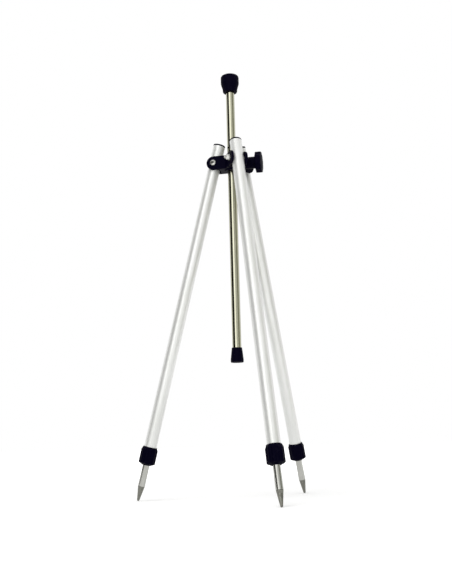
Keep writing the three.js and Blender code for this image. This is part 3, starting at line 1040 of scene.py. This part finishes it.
@dataclass
class Hub:
    """The black moulding: a barrel, three clevises with cradles and a boss for the clamp.

    Attributes:
        stance: The legs' stance.
        barrel_radius: Radius of the barrel.
        barrel_half: Half its height.
        barrel_edge: The rounding of its ends.
        ear_radius: Radius of an ear's round end.
        ear_wall: Thickness of an ear.
        pad_radius: Radius of the raised pad round a bolt.
        pad_height: Height of that pad.
        pad_edge: The rounding of its rim.
        boss_radius: Radius of the clamp's boss.
        boss_reach: From the mast's axis to the boss's end.
        boss_drop: How far the boss's axis is below the pivots.
        boss_edge: The rounding of its end.
        slot_back: The least that a leg's slot reaches behind its pivot.
        slot_past: How far the slot runs past the ears.
        bolt_hole: Radius and half length of the cut for a bolt.
        mast_bore: Radius and half length of the cut for the mast.
        clamp_bores: Radius and outer end of the pad's pocket, the stud's hole and the insert's
            seat, one after another from the mast's axis.
        voxel: Size of the grid that blends the moulding's corners.
        smoothing: Strength of one pass of smoothing.
        passes: How many passes round the corners.
        kept: The share of its triangles that is kept, because flat faces need few.
    """

    stance: Stance
    barrel_radius: float = 15.5
    barrel_half: float = 16.6
    barrel_edge: float = 1.2
    ear_radius: float = 14.5
    ear_wall: float = 4.5
    pad_radius: float = 8.0
    pad_height: float = 0.6
    pad_edge: float = 0.3
    boss_radius: float = 12.5
    boss_reach: float = 50.4
    boss_drop: float = 1.5
    boss_edge: float = 1.5
    slot_back: float = 5.6
    slot_past: float = 2.0
    bolt_hole: tuple[float, float] = (3.3, 24.0)
    mast_bore: tuple[float, float] = (9.3, 20.0)
    clamp_bores: tuple[tuple[float, float], ...] = ((5.5, 15.4), (4.4, 34.1), (6.8, 52.4))
    voxel: float = 0.42
    smoothing: float = 0.5
    passes: int = 24
    kept: float = 0.5

    def _boss_frame(self) -> Matrix:
        """The clamp's axis, from the mast's axis outward."""
        return Matrix.Translation((0, 0, -self.boss_drop)) @ across_x()

    def _clevis(self, leg: LegPlace) -> list[Draft]:
        """The two ears of one leg as one block, and the pads on them.

        Args:
            leg: Which leg.

        Returns:
            The drafts in the hub's frame.
        """
        reach, radius = self.stance.pivot_radius, self.ear_radius
        outline = [(0, -radius), *arc((reach, 0), radius, -90, 90, 40), (0, radius)]
        half = self.stance.leg_radius + self.stance.fit + self.ear_wall
        block = Draft.plate("clevis", outline, half)
        face = half + self.pad_height
        pads = Draft.turned(
            "pads", rod(self.pad_radius, -face, face, self.pad_edge),
            frame=self.stance.reach() @ across_y(),
        )
        return [draft.moved(leg.turn()) for draft in (block, pads)]

    def _slot(self, leg: LegPlace) -> list[Draft]:
        """What is cut for one leg: the slot, its two cradles and the bolt's hole.

        Args:
            leg: Which leg.

        Returns:
            The drafts in the hub's frame.
        """
        stance = self.stance
        tall, reach = self.ear_radius + self.slot_past, stance.pivot_radius
        half = stance.leg_radius + stance.fit
        back = reach - max(tall * math.tan(math.radians(stance.splay)), self.slot_back)
        front = reach + self.ear_radius + self.slot_past
        corners = [(back, -tall), (front, -tall), (front, tall), (back, tall)]
        cradle = rod(half, -tall - half, tall + half)
        radius, deep = self.bolt_hole
        cuts = (
            Draft.plate("slot", corners, half),
            Draft.turned("open_cradle", cradle, frame=stance.reach() @ stance.lean()),
            Draft.turned("folded_cradle", cradle, frame=stance.reach()),
            Draft.turned(
                "bolt_hole", rod(radius, -deep, deep), FINE, frame=stance.reach() @ across_y()
            ),
        )
        return [draft.moved(leg.turn()) for draft in cuts]

    def _clamp_bore(self) -> Draft:
        """What is cut for the clamp: the pad's pocket, the stud's hole and the insert's seat."""
        corners, start = [Corner(0, 0)], 0.0
        for radius, end in self.clamp_bores:
            corners += profile((radius, start), (radius, end))
            start = end
        corners.append(Corner(0, start))
        return Draft.turned("clamp_bore", corners, FINE, frame=self._boss_frame())

    def build(self, shop: Workshop) -> None:
        """Builds and dresses the moulding.

        Args:
            shop: The workshop.
        """
        barrel = rod(self.barrel_radius, -self.barrel_half, self.barrel_half, self.barrel_edge)
        body = Draft.turned("hub_moulding", barrel)
        boss = rod(self.boss_radius, 0, self.boss_reach, self.boss_edge)
        parts = [Draft.turned("boss", boss, frame=self._boss_frame())]
        parts += [draft for leg in LegPlace for draft in self._clevis(leg)]
        body.combine(parts, "UNION")
        radius, deep = self.mast_bore
        cuts = [draft for leg in LegPlace for draft in self._slot(leg)]
        cuts += [self._clamp_bore(), Draft.turned("mast_bore", rod(radius, -deep, deep))]
        body.combine(cuts, "DIFFERENCE")
        body.modified("REMESH", mode="VOXEL", voxel_size=self.voxel, use_smooth_shade=True)
        body.modified("SMOOTH", factor=self.smoothing, iterations=self.passes)
        body.modified("DECIMATE", ratio=self.kept)
        shop.finish(body, MOULDING, "hub", "hub", shop.centre(), math.pi)


@dataclass
class PivotHardware:
    """One leg's bolt, washer and locking nut.

    Attributes:
        stance: The legs' stance.
        seat: From the leg's middle to the face under the bolt's head.
        shank: Radius of the bolt.
        head: Radius of its button head.
        head_height: Height of that head.
        rim: Height of the head's upright rim.
        crown: Radius of the flat on the head.
        socket: Across the flats of its hexagon socket.
        socket_depth: Depth of that socket.
        tail: From the leg's middle to the end of the thread.
        pitch: Pitch of the thread.
        root_depth: How far the thread's root is below the shank.
        neck: How far the root reaches past the face of the far ear.
        point: Width and height of the chamfer at the thread's end.
        ridge: Radius of the thread's ridge.
        washer: Radius of the washer.
        washer_height: Thickness of the washer.
        washer_edge: The rounding of its edges.
        nut_across: Across the flats of the nut.
        nut_hex: Height of the nut's hexagon.
        nut_chamfer: Height of the chamfer on its corners.
        nut_edge: Width of the bevel on its edges.
        nut_collar: Height of the nut's locking collar.
        nut_collar_radius: Radius of that collar.
        nut_collar_edge: The rounding of its rim.
    """

    stance: Stance
    seat: float = 18.2
    shank: float = 3.0
    head: float = 6.0
    head_height: float = 3.8
    rim: float = 1.2
    crown: float = 2.0
    socket: float = 5.0
    socket_depth: float = 2.6
    tail: float = 28.9
    pitch: float = 1.0
    root_depth: float = 0.42
    neck: float = 4.0
    point: tuple[float, float] = (0.4, 0.5)
    ridge: float = 0.45
    washer: float = 6.25
    washer_height: float = 1.2
    washer_edge: float = 0.2
    nut_across: float = 10.0
    nut_hex: float = 4.4
    nut_chamfer: float = 0.75
    nut_edge: float = 0.12
    nut_collar: float = 1.6
    nut_collar_radius: float = 4.3
    nut_collar_edge: float = 0.7

    @staticmethod
    def _corner(across: float) -> float:
        """From a hexagon's middle to its corner, for a size across its flats."""
        return across / 2 / math.cos(math.pi / 6)

    def _bolt(self, thread: bpy.types.NodeTree, material: bpy.types.Material) -> Draft:
        """The bolt along Z with its head up.

        Args:
            thread: The thread's tree.
            material: The bolt's material.

        Returns:
            The draft.
        """
        root, mouth = self.shank - self.root_depth, self.seat + self.head_height
        tail, neck, rise = -self.tail, self.neck - self.seat, self.head_height - self.rim
        slim, long = self.point
        dome = [
            Corner(self.head * math.cos(a), self.seat + self.rim + rise * math.sin(a))
            for a in (math.radians(d) for d in range(0, 71, 7))
        ]
        corners = profile(
            (0, tail), (root - slim, tail), (root, tail + long), (root, neck),
            (self.shank, neck + 1), (self.shank, self.seat), (self.head, self.seat, 0.2),
        )
        corners += [*dome, *profile((self.crown, mouth), (0, mouth))]
        body = Draft.turned("pivot_bolt", corners, FINE)
        across, floor = self._corner(self.socket), mouth - self.socket_depth
        hexagon = Draft.turned("socket", rod(across, floor + 5, floor), 6)
        inner, outer = (across - 0.8, mouth - 1), (across + 0.4, mouth + 0.2)
        cone = profile((0, inner[1]), inner, outer, (0, outer[1]))
        body.combine([hexagon, Draft.turned("countersink", cone, FINE)], "DIFFERENCE")
        ridge = Draft.ridge(
            thread, material, tail + long + 0.05, Turns=(neck - tail - 0.6) / self.pitch - 0.8,
            Pitch=self.pitch, Root=root - 0.03, Height=self.ridge,
        )
        return body.joined(ridge).modified("WELD", merge_threshold=WELD_REACH)

    def _nut(self) -> Draft:
        """The locking nut along Z, below the washer."""
        high = -self.seat - self.washer_height - self.stance.fit
        low = high - self.nut_hex
        flat, corner = self.nut_across / 2, self._corner(self.nut_across)
        body = Draft.turned("pivot_nut", rod(corner, low, high), 6)
        chamfer = profile(
            (0, low - 0.02), (flat - 0.1, low - 0.02), (corner + 0.1, low + self.nut_chamfer),
            (corner + 0.1, high - self.nut_chamfer), (flat - 0.1, high + 0.02), (0, high + 0.02),
        )
        foot = low - self.nut_collar
        collar = rod(self.nut_collar_radius, foot, low + 1, self.nut_collar_edge)
        hole = rod(self.shank + self.stance.fit, low - 4, high + 2)
        steps = {"INTERSECT": chamfer, "UNION": collar, "DIFFERENCE": hole}
        for operation, corners in steps.items():
            body.combine([Draft.turned("tool", corners, FINE)], operation)
        body.modified(
            "BEVEL", width=self.nut_edge, segments=2, limit_method="ANGLE",
            angle_limit=math.radians(35),
        )
        return body.modified("WELD", merge_threshold=WELD_REACH)

    def build(self, shop: Workshop, leg: LegPlace, thread: bpy.types.NodeTree) -> None:
        """Builds and dresses the hardware of one leg.

        Args:
            shop: The workshop.
            leg: Which leg.
            thread: The thread's tree.
        """
        frame = shop.centre() @ self.stance.pivot(leg) @ across_y()
        bolt = self._bolt(thread, shop.finishes.of(BOLT))
        bolt.object.name = f"button_bolt_{leg.label}"
        shop.finish(bolt, BOLT, "hub", f"pivot_bolt_{leg.label}", frame)
        bore, low = self.shank + self.stance.fit, -self.seat - self.washer_height
        corners = ring(bore, self.washer, low, -self.seat, self.washer_edge)
        washer = Draft.turned(f"plain_washer_{leg.label}", corners, FINE, closed=True)
        shop.finish(washer, ZINC, "hub", f"pivot_washer_{leg.label}", frame)
        nut = self._nut()
        nut.object.name = f"locking_nut_{leg.label}"
        shop.finish(nut, ZINC, "hub", f"pivot_nut_{leg.label}", frame)
        shop.dress_node(f"pivot_bushing_{leg.label}", ZINC_PLAIN)


@dataclass
class OuterLeg:
    """One leg tube with the plug in its upper end.

    Attributes:
        stance: The legs' stance.
        above: From the pivot to the tube's upper end.
        below: From the pivot to its lower end.
        edge: The rounding of its ends.
        hole: Radius and half length of the cut for the pivot's bushing.
        lip: Height of the plug's lip.
        shank: Depth of the plug in the tube.
        wall: Thickness of the plug's skirt.
        dish: Radius and depth of the hollow in the plug's top.
    """

    stance: Stance
    above: float = 40.9
    below: float = 606.8
    edge: float = 0.35
    hole: tuple[float, float] = (5.3, 20.0)
    lip: float = 3.2
    shank: float = 12.0
    wall: float = 1.8
    dish: tuple[float, float] = (6.5, 0.35)

    def _plug(self) -> list[Corner]:
        """The plug's profile: a skirt in the tube, a lip as wide as the tube and a dished top."""
        fit, outer = self.stance.fit, self.stance.leg_radius
        seat, shank = self.above + fit, self.stance.leg_bore - fit
        foot, top = seat - self.shank, seat + self.lip
        dish, deep = self.dish
        return profile(
            (0, seat), (shank - self.wall, seat), (shank - self.wall, foot, 0.3),
            (shank - 0.3, foot, 0.3), (shank, foot + 2), (shank, seat), (outer, seat, 0.15),
            (outer, top, 1.4), (dish, top, 0.3), (dish - 0.5, top - deep, 0.2), (0, top - deep),
        )

    def build(self, shop: Workshop, leg: LegPlace) -> None:
        """Builds and dresses one leg tube and its plug.

        Args:
            shop: The workshop.
            leg: Which leg.
        """
        stance, body = self.stance, f"leg_{leg.label}"
        frame = shop.centre() @ stance.along(leg)
        corners = ring(stance.leg_bore, stance.leg_radius, -self.below, self.above, self.edge)
        tube = Draft.turned(f"drawn_leg_tube_{leg.label}", corners, closed=True)
        radius, deep = self.hole
        drill = Draft.turned("drill", rod(radius, -deep, deep), FINE, frame=across_y())
        tube.combine([drill], "DIFFERENCE")
        shop.finish(tube, SATIN_ALUMINIUM, body, f"leg_tube_{leg.label}", frame)
        stopper = Draft.turned(f"tube_end_plug_{leg.label}", self._plug())
        shop.finish(stopper, MOULDING, body, f"leg_plug_{leg.label}", frame)
        shop.dress_node(f"lock_sleeve_{leg.label}", NYLON)


@dataclass
class TwistLock:
    """One leg's lock collar over its collet.

    Attributes:
        stance: The legs' stance.
        top: From the pivot to the collar's upper edge.
        length: Length of the collar.
        radius: Radius over its ribs.
        top_bevel: Height of its upper bevel.
        foot_bevel: Height of its lower bevel.
        bore: Radius of its lower hole.
        thread: Radius of its thread.
        overlap: How far the collar reaches up over the leg tube.
        rim: Height of the sleeve's rim below the tube.
        threaded: Length of the thread.
        cone: Radius at the lower end of the collet's cone.
        floor: Thickness of the collar below the collet.
        ribs: How many ribs it has.
        rib_depth: Depth of the hollows between them.
    """

    stance: Stance
    top: float = 596.8
    length: float = 36.5
    radius: float = 17.0
    top_bevel: float = 6.0
    foot_bevel: float = 4.0
    bore: float = 7.3
    thread: float = 10.8
    overlap: float = 10.0
    rim: float = 2.0
    threaded: float = 10.0
    cone: float = 8.7
    floor: float = 3.0
    ribs: int = 12
    rib_depth: float = 0.9

    def _corners(self) -> list[Corner]:
        """The collar's profile: a ribbed barrel between two bevels, over a stepped bore."""
        fit, end = self.stance.fit, -self.top - self.length
        entry = self.stance.leg_radius + fit
        step = -self.top - self.overlap - fit - self.rim - fit
        collet, floor = step - self.threaded, end + self.floor
        low, high = end + self.foot_bevel, -self.top - self.top_bevel
        return profile(
            (self.bore, end, 0.4), (self.bore + 1.2, end, 0.5),
            (self.radius - 0.25, low - 0.1, 0.6, 1), (self.radius, low + 0.5, 0.4, 1),
            (self.radius, high - 0.5, 0.4, 1), (self.radius - 0.25, high + 0.1, 0.6, 1),
            (entry + 1.2, -self.top, 0.5), (entry, -self.top, 0.4), (entry, step),
            (self.thread, step), (self.thread, collet), (self.cone, floor), (self.bore, floor),
        )

    def build(self, shop: Workshop, leg: LegPlace, grip: bpy.types.NodeTree) -> None:
        """Builds and dresses one collar.

        Args:
            shop: The workshop.
            leg: Which leg.
            grip: The hand grip's tree.
        """
        collar = Draft.turned(f"twist_collar_{leg.label}", self._corners(), RIBBED, closed=True)
        collar.grown(grip, shop.finishes.of(MOULDING), Ribs=float(self.ribs), Depth=self.rib_depth)
        frame = shop.centre() @ self.stance.along(leg)
        shop.finish(collar, MOULDING, f"collar_{leg.label}", f"lock_collar_{leg.label}", frame)
        shop.dress_node(f"lock_collet_{leg.label}", NYLON)


@dataclass
class InnerLeg:
    """One inner tube with its spike.

    Attributes:
        stance: The legs' stance.
        top: From the pivot to the inner tube's upper end.
        reach: From the pivot to the point of the spike.
        cone: Length of the spike's cone.
        radius: Radius of the inner tube.
        bore: Radius inside it.
        edge: The rounding of its ends.
        spike: Radius of the spike at its shoulder.
        nose: Radius of its blunt nose.
        shank: Length of its shank in the tube.
        grooves: Where along the cone its grooves are, from 0 at the nose to 1 at the shoulder.
        groove_half: Half a groove's width, on the same scale.
        groove_depth: Depth of a groove.
    """

    stance: Stance
    top: float = 46.8
    reach: float = 704.8
    cone: float = 29.0
    radius: float = 7.0
    bore: float = 6.0
    edge: float = 0.3
    spike: float = 6.8
    nose: float = 2.5
    shank: float = 25.0
    grooves: tuple[float, ...] = (0.80, 0.87)
    groove_half: float = 0.012
    groove_depth: float = 0.22

    def _spike_corners(self) -> list[Corner]:
        """The spike's profile: a ball nose, a cone with turned grooves and the shank."""
        shoulder = -(self.reach - self.cone)
        centre = -(self.reach - self.nose)
        long = math.hypot(self.spike, shoulder - centre)
        tangent = math.atan2(shoulder - centre, self.spike) - math.acos(self.nose / long)
        nose = arc((0, centre), self.nose, -90, math.degrees(tangent), 12)
        corners = profile((0, -self.reach), *nose[1:])
        run, half = Vector((self.spike, shoulder)) - Vector(nose[-1]), self.groove_half
        for share in self.grooves:
            for offset, dip in ((-half, 0.0), (0.0, self.groove_depth), (half, 0.0)):
                spot = Vector(nose[-1]) + run * (share + offset)
                corners.append(Corner(spot.x - dip, spot.y))
        shank, end = self.bore - self.stance.fit, shoulder + self.shank
        return corners + profile(
            (self.spike, shoulder, 0.25), (shank, shoulder), (shank, end, 0.6), (0, end)
        )

    def build(self, shop: Workshop, leg: LegPlace) -> None:
        """Builds and dresses one inner tube and its spike.

        Args:
            shop: The workshop.
            leg: Which leg.
        """
        frame = shop.centre() @ self.stance.along(leg)
        body = f"inner_leg_{leg.label}"
        end = self.reach - self.cone - self.stance.fit
        corners = ring(self.bore, self.radius, -end, -self.top, self.edge)
        tube = Draft.turned(f"bright_inner_tube_{leg.label}", corners, closed=True)
        shop.finish(tube, BRIGHT_ALUMINIUM, body, f"inner_tube_{leg.label}", frame)
        point = Draft.turned(f"turned_spike_{leg.label}", self._spike_corners())
        shop.finish(point, SPIKE_STEEL, body, f"spike_{leg.label}", frame)
        shop.dress_node(f"guide_bush_{leg.label}", NYLON)


@dataclass
class Mast:
    """The polished mast with its two rubber caps.

    Attributes:
        radius: Radius of the tube.
        wall: Its wall.
        edge: The rounding of its ends.
        rise: From the pivots to the top of the upper cap.
        drop: From the pivots to the foot of the lower cap.
        crown: Rubber above the end of the tube.
        floor: Rubber below the other end.
        fit: Clearance in the caps.
        cap_height: Height of the upper cap.
        cap_radius: Radius of its crown.
        bead: Radius of the bead at its neck.
        foot_height: Height of the lower cap.
        foot_radius: Radius of its foot.
        foot_neck: Radius of its neck.
    """

    radius: float = 9.0
    wall: float = 1.0
    edge: float = 0.25
    rise: float = 196.6
    drop: float = 416.8
    crown: float = 7.0
    floor: float = 4.0
    fit: float = 0.3
    cap_height: float = 37.0
    cap_radius: float = 19.2
    bead: float = 15.6
    foot_height: float = 29.5
    foot_radius: float = 13.0
    foot_neck: float = 10.5

    def _top_cap(self) -> list[Corner]:
        """The upper cap's profile: a bead at the neck, a taper and a domed, well-rounded crown."""
        base, seat = self.rise - self.cap_height, self.rise - self.crown
        bore, bead, rim = self.radius + self.fit, self.bead, self.cap_radius
        return profile(
            (0, seat), (bore, seat), (bore, base, 0.5), (bead - 0.5, base, 4.8),
            (bead, base + 6.2, 0.5), (bead - 0.1, base + 7.0, 0.4), (rim, base + 19.5, 3),
            (rim, self.rise, 6.3), (9, self.rise, 0.5), (0, self.rise),
        )

    def _foot_cap(self) -> list[Corner]:
        """The lower cap's profile: a flared foot and a thin lip at the neck."""
        foot, neck = -self.drop, -self.drop + self.foot_height
        bore, rim, floor = self.radius + self.fit, self.foot_radius, foot + self.floor
        return profile(
            (0, foot), (rim - 3.5, foot, 0.5), (rim, foot, 3.5), (rim, foot + 6, 1.0),
            (self.foot_neck + 0.1, neck - 2.0, 0.4), (self.foot_neck, neck, 0.6),
            (bore, neck, 0.3), (bore, floor), (0, floor),
        )

    def build(self, shop: Workshop) -> None:
        """Builds and dresses the mast.

        Args:
            shop: The workshop.
        """
        low, high = -self.drop + self.floor + self.fit, self.rise - self.crown - self.fit
        corners = ring(self.radius - self.wall, self.radius, low, high, self.edge)
        tube = Draft.turned("polished_mast", corners, closed=True)
        shop.finish(tube, POLISHED_STEEL, "mast", "mast_tube", shop.centre())
        caps = {"top": self._top_cap(), "foot": self._foot_cap()}
        for end, cap in caps.items():
            rubber = Draft.turned(f"mast_rubber_{end}", cap)
            shop.finish(rubber, RUBBER, "mast", f"mast_{end}_cap", shop.centre())


@dataclass
class Clamp:
    """The thumb knob, its stud, the brass insert and the pad.

    Attributes:
        drop: How far the clamp's axis is below the pivots.
        seat: From the mast's axis to the knob's inner face.
        radius: Radius of the knob over its lobes.
        thickness: Its thickness.
        bore_depth: Depth of its blind bore.
        flutes: How many lobes it has.
        flute_depth: Depth of the hollows between them.
        stud: Radius of the stud.
        tip: From the mast's axis to the stud's tip.
        grasp: How far the stud goes into the knob.
        pitch: Pitch of its thread.
        root_depth: How far the thread's root is below the stud's radius.
        ridge: Radius of the thread's ridge.
        fit: Clearance in the knob's bore.
    """

    drop: float = 1.5
    seat: float = 51.0
    radius: float = 22.3
    thickness: float = 13.6
    bore_depth: float = 9.8
    flutes: int = 10
    flute_depth: float = 1.6
    stud: float = 4.0
    tip: float = 13.2
    grasp: float = 9.5
    pitch: float = 1.25
    root_depth: float = 0.55
    ridge: float = 0.58
    fit: float = 0.3

    def _knob(self) -> list[Corner]:
        """The knob's profile: a blind bore, a dished back and a domed face with a ring groove."""
        seat, rim, face = self.seat, self.radius, self.seat + self.thickness
        bore, floor = self.stud + self.fit, self.seat + self.bore_depth
        return profile(
            (0, floor), (bore, floor), (bore, seat, 0.4), (9, seat, 0.3), (9.6, seat + 0.5, 0.3),
            (rim - 3.2, seat + 0.5, 0.3), (rim - 2.8, seat, 0.3, 0.8), (rim, seat, 1.9, 1),
            (rim, face - 1.6, 2.0, 1), (rim - 4.2, face - 1.3, 0.5, 0.4),
            (rim - 4.8, face - 1.7, 0.3, 0.2), (rim - 5.8, face - 1.6, 0.3),
            (rim - 6.3, face - 0.95, 0.5), (8, face - 0.25, 1), (0, face),
        )

    def _screw(self, thread: bpy.types.NodeTree, material: bpy.types.Material) -> Draft:
        """The stud along Z from its tip to its end in the knob.

        Args:
            thread: The thread's tree.
            material: The stud's material.

        Returns:
            The draft.
        """
        tip, end, root = self.tip, self.seat + self.grasp, self.stud - self.root_depth
        corners = profile(
            (0, tip), (root - 0.3, tip, 0.2), (root, tip + 0.9), (root, end), (0, end)
        )
        ridge = Draft.ridge(
            thread, material, tip + 0.8, Turns=(end - tip - 1.6) / self.pitch, Pitch=self.pitch,
            Root=root - 0.05, Height=self.ridge,
        )
        return Draft.turned("clamp_screw", corners, FINE).joined(ridge)

    def build(
        self, shop: Workshop, grip: bpy.types.NodeTree, thread: bpy.types.NodeTree
    ) -> None:
        """Builds and dresses the clamp.

        Args:
            shop: The workshop.
            grip: The hand grip's tree.
            thread: The thread's tree.
        """
        frame = shop.centre() @ Matrix.Translation((0, 0, -self.drop)) @ across_x()
        knob = Draft.turned("thumb_knob", self._knob(), LOBED)
        moulding, lobes = shop.finishes.of(MOULDING), float(self.flutes)
        knob.grown(grip, moulding, Ribs=lobes, Depth=self.flute_depth)
        shop.finish(knob, MOULDING, "clamp_knob", "clamp_knob", frame)
        screw = self._screw(thread, shop.finishes.of(ZINC))
        shop.finish(screw, ZINC, "clamp_knob", "clamp_stud", frame)
        shop.dress_node("clamp_insert", BRASS)
        shop.dress_node("clamp_pad", NYLON)


# Studio


@dataclass(frozen=True)
class Panel:
    """What stands or hangs in the studio and faces the object.

    Attributes:
        name: Its name.
        place: Where its middle is.
        width: Its width.
        height: Its height.
    """

    name: str
    place: Triple
    width: float
    height: float


@dataclass(frozen=True)
class Softbox(Panel):
    """A large soft lamp.

    Attributes:
        power: Its power in watts.
        warmth: Its colour.
        mirrored: Whether reflections show it.
    """

    power: float
    warmth: Triple = (1.0, 1.0, 1.0)
    mirrored: bool = False


@dataclass(frozen=True)
class Card(Panel):
    """A tall reflector card beside the set, which only reflections see.

    Attributes:
        colour: What it reflects.
    """

    colour: Triple


@dataclass
class Studio:
    """The camera, the lamps, the reflector cards, the floor and the world.

    Attributes:
        aim: What the lamps and cards face.
        axis: The mast's axis in X, from which the camera is measured.
        eye: The camera's place from the mast's foot on the floor.
        forward: The camera's direction.
        upward: The camera's up.
        lens: Its focal length in millimetres.
        film: The width of its film in millimetres.
        clip: The nearest and farthest that it shows.
        floor_half: Half the floor's side.
        floor_sink: How far the floor is below the spikes' points.
        floor_glow: How white the floor near the object is by itself, so that a shadow shows there.
        floor_fade: From where to where the floor turns all white.
        ambience: How strongly the white surroundings light the object.
        softboxes: The lamps.
        cards: The reflector cards.
    """

    aim: Triple = (0.02, 0.0, 0.45)
    axis: float = 0.0
    eye: Triple = (0.29503, -1.55343, 0.11168)
    forward: Triple = (-0.195017, 0.963046, 0.185769)
    upward: Triple = (0.061068, -0.177115, 0.982294)
    lens: float = 48.773
    film: float = 36.0
    clip: tuple[float, float] = (0.05, 60.0)
    floor_half: float = 14.0
    floor_sink: float = 0.0004
    floor_glow: float = 0.34
    floor_fade: tuple[float, float] = (0.35, 1.9)
    ambience: float = 0.58
    softboxes: tuple[Softbox, ...] = (
        Softbox("key_softbox", (-0.30, -2.40, 1.3), 1.5, 3.2, 17.0, mirrored=True),
        Softbox("top_softbox", (-0.25, -0.55, 2.7), 0.9, 0.9, 16.0),
        Softbox("side_softbox", (1.9, -1.1, 1.1), 0.6, 2.0, 6.0, (1.0, 0.99, 0.96)),
    )
    cards: tuple[Card, ...] = (
        Card("dark_card_left", (-1.43, -0.92, 1.0), 1.9, 3.4, (0.02, 0.02, 0.012)),
        Card("grey_card_right", (1.66, -0.38, 1.0), 1.5, 3.4, (0.48, 0.49, 0.41)),
    )

    @staticmethod
    def _sheet(name: str, half: float, cells: int, shader: Shader) -> bpy.types.Object:
        """Makes a flat square.

        Args:
            name: Its name.
            half: Half its side.
            cells: How many faces it has along a side.
            shader: What its material comes from.

        Returns:
            The object.
        """
        shape = bmesh.new()
        bmesh.ops.create_grid(shape, x_segments=cells, y_segments=cells, size=half)
        sheet = meshed(name, shape)
        sheet.data.materials.append(shader.material)
        return sheet

    def _card(self, card: Card) -> None:
        """Stands one reflector card.

        Args:
            card: The card.
        """
        shader = Shader(card.name)
        shader.dress(Base_Color=(*card.colour, 1.0), Roughness=1.0, Specular_IOR_Level=0.0)
        board = self._sheet(card.name, 0.5, 1, shader)
        board.location = card.place
        facing = Vector((self.aim[0] - card.place[0], self.aim[1] - card.place[1], 0))
        board.rotation_euler = facing.to_track_quat("Z", "Y").to_euler()
        board.scale = (card.width, card.height, 1)
        board.visible_camera = board.visible_shadow = board.visible_diffuse = False

    def _floor(self) -> None:
        """Lays the pale floor, whose shadow stays while the rest of it runs into the backdrop."""
        shader = Shader("pale_floor")
        clouds = shader.noise(shader.places(), scale=3.0, detail=2.0)
        inputs = {0: shader.places()}
        away = shader.node("ShaderNodeVectorMath", {"operation": "LENGTH"}, inputs, 1)
        far = away.band(*self.floor_fade)
        shader.dress(
            Base_Color=shader.blend(clouds, (0.80, 0.80, 0.80), (0.83, 0.83, 0.82)),
            Roughness=0.9,
            Specular_IOR_Level=0.0,
            Emission_Color=WHITE,
            Emission_Strength=shader.seen() * (self.floor_glow + far * (1.0 - self.floor_glow)),
        )
        floor = self._sheet("studio_floor", self.floor_half, 2, shader)
        floor.location = (0, 0, -self.floor_sink)

    def _world(self) -> None:
        """Makes the white surroundings, which light the object at a plain level."""
        world = bpy.data.worlds.new("white_studio")
        bpy.context.scene.world = world
        world.use_nodes = True
        sky, back = NodeMaker(world.node_tree), world.node_tree.nodes["Background"]
        sky.feed(back.inputs["Color"], WHITE)
        strength = sky.seen() * (1.0 - self.ambience) + self.ambience
        sky.feed(back.inputs["Strength"], strength)

    def _lamps(self) -> None:
        """Hangs the softboxes."""
        for box in self.softboxes:
            lamp = bpy.data.lights.new(box.name, "AREA")
            lamp.shape = "RECTANGLE"
            lamp.size, lamp.size_y = box.width, box.height
            lamp.energy = box.power
            lamp.color = box.warmth
            hung = placed(box.name, lamp)
            hung.location = box.place
            toward = Vector(self.aim) - Vector(box.place)
            hung.rotation_euler = toward.to_track_quat("-Z", "Y").to_euler()
            hung.visible_camera = False
            hung.visible_glossy = box.mirrored

    def _camera(self) -> None:
        """Sets the camera at the photograph's viewing angle."""
        lens = bpy.data.cameras.new("camera")
        lens.lens, lens.sensor_width = self.lens, self.film
        lens.clip_start, lens.clip_end = self.clip
        camera = placed("camera", lens)
        back = -Vector(self.forward).normalized()
        right = Vector(self.upward).cross(back).normalized()
        turn = Matrix((right, back.cross(right), back)).transposed().to_4x4()
        place = Vector(self.eye) + Vector((self.axis, 0, 0))
        camera.matrix_world = Matrix.Translation(place) @ turn
        bpy.context.scene.camera = camera

    def build(self) -> None:
        """Sets up the whole studio."""
        bpy.context.scene.view_settings.view_transform = "Standard"
        self._camera()
        self._lamps()
        self._floor()
        self._world()
        for card in self.cards:
            self._card(card)
        LOG.info("studio: %d lamps, %d cards", len(self.softboxes), len(self.cards))


def main() -> None:
    """Builds the studio, then every sub-assembly in order."""
    logging.basicConfig(level=logging.INFO, format="%(name)s %(message)s")
    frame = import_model()
    shop = Workshop(frame, Finishes())
    Studio(axis=shop.hub.x).build()
    grip, thread = grip_tree(), thread_tree()
    stance = Stance()
    Hub(stance).build(shop)
    for leg in LegPlace:
        PivotHardware(stance).build(shop, leg, thread)
        OuterLeg(stance).build(shop, leg)
        TwistLock(stance).build(shop, leg, grip)
        InnerLeg(stance).build(shop, leg)
    Mast().build(shop)
    Clamp().build(shop, grip, thread)


if __name__ == "__main__":
    main()
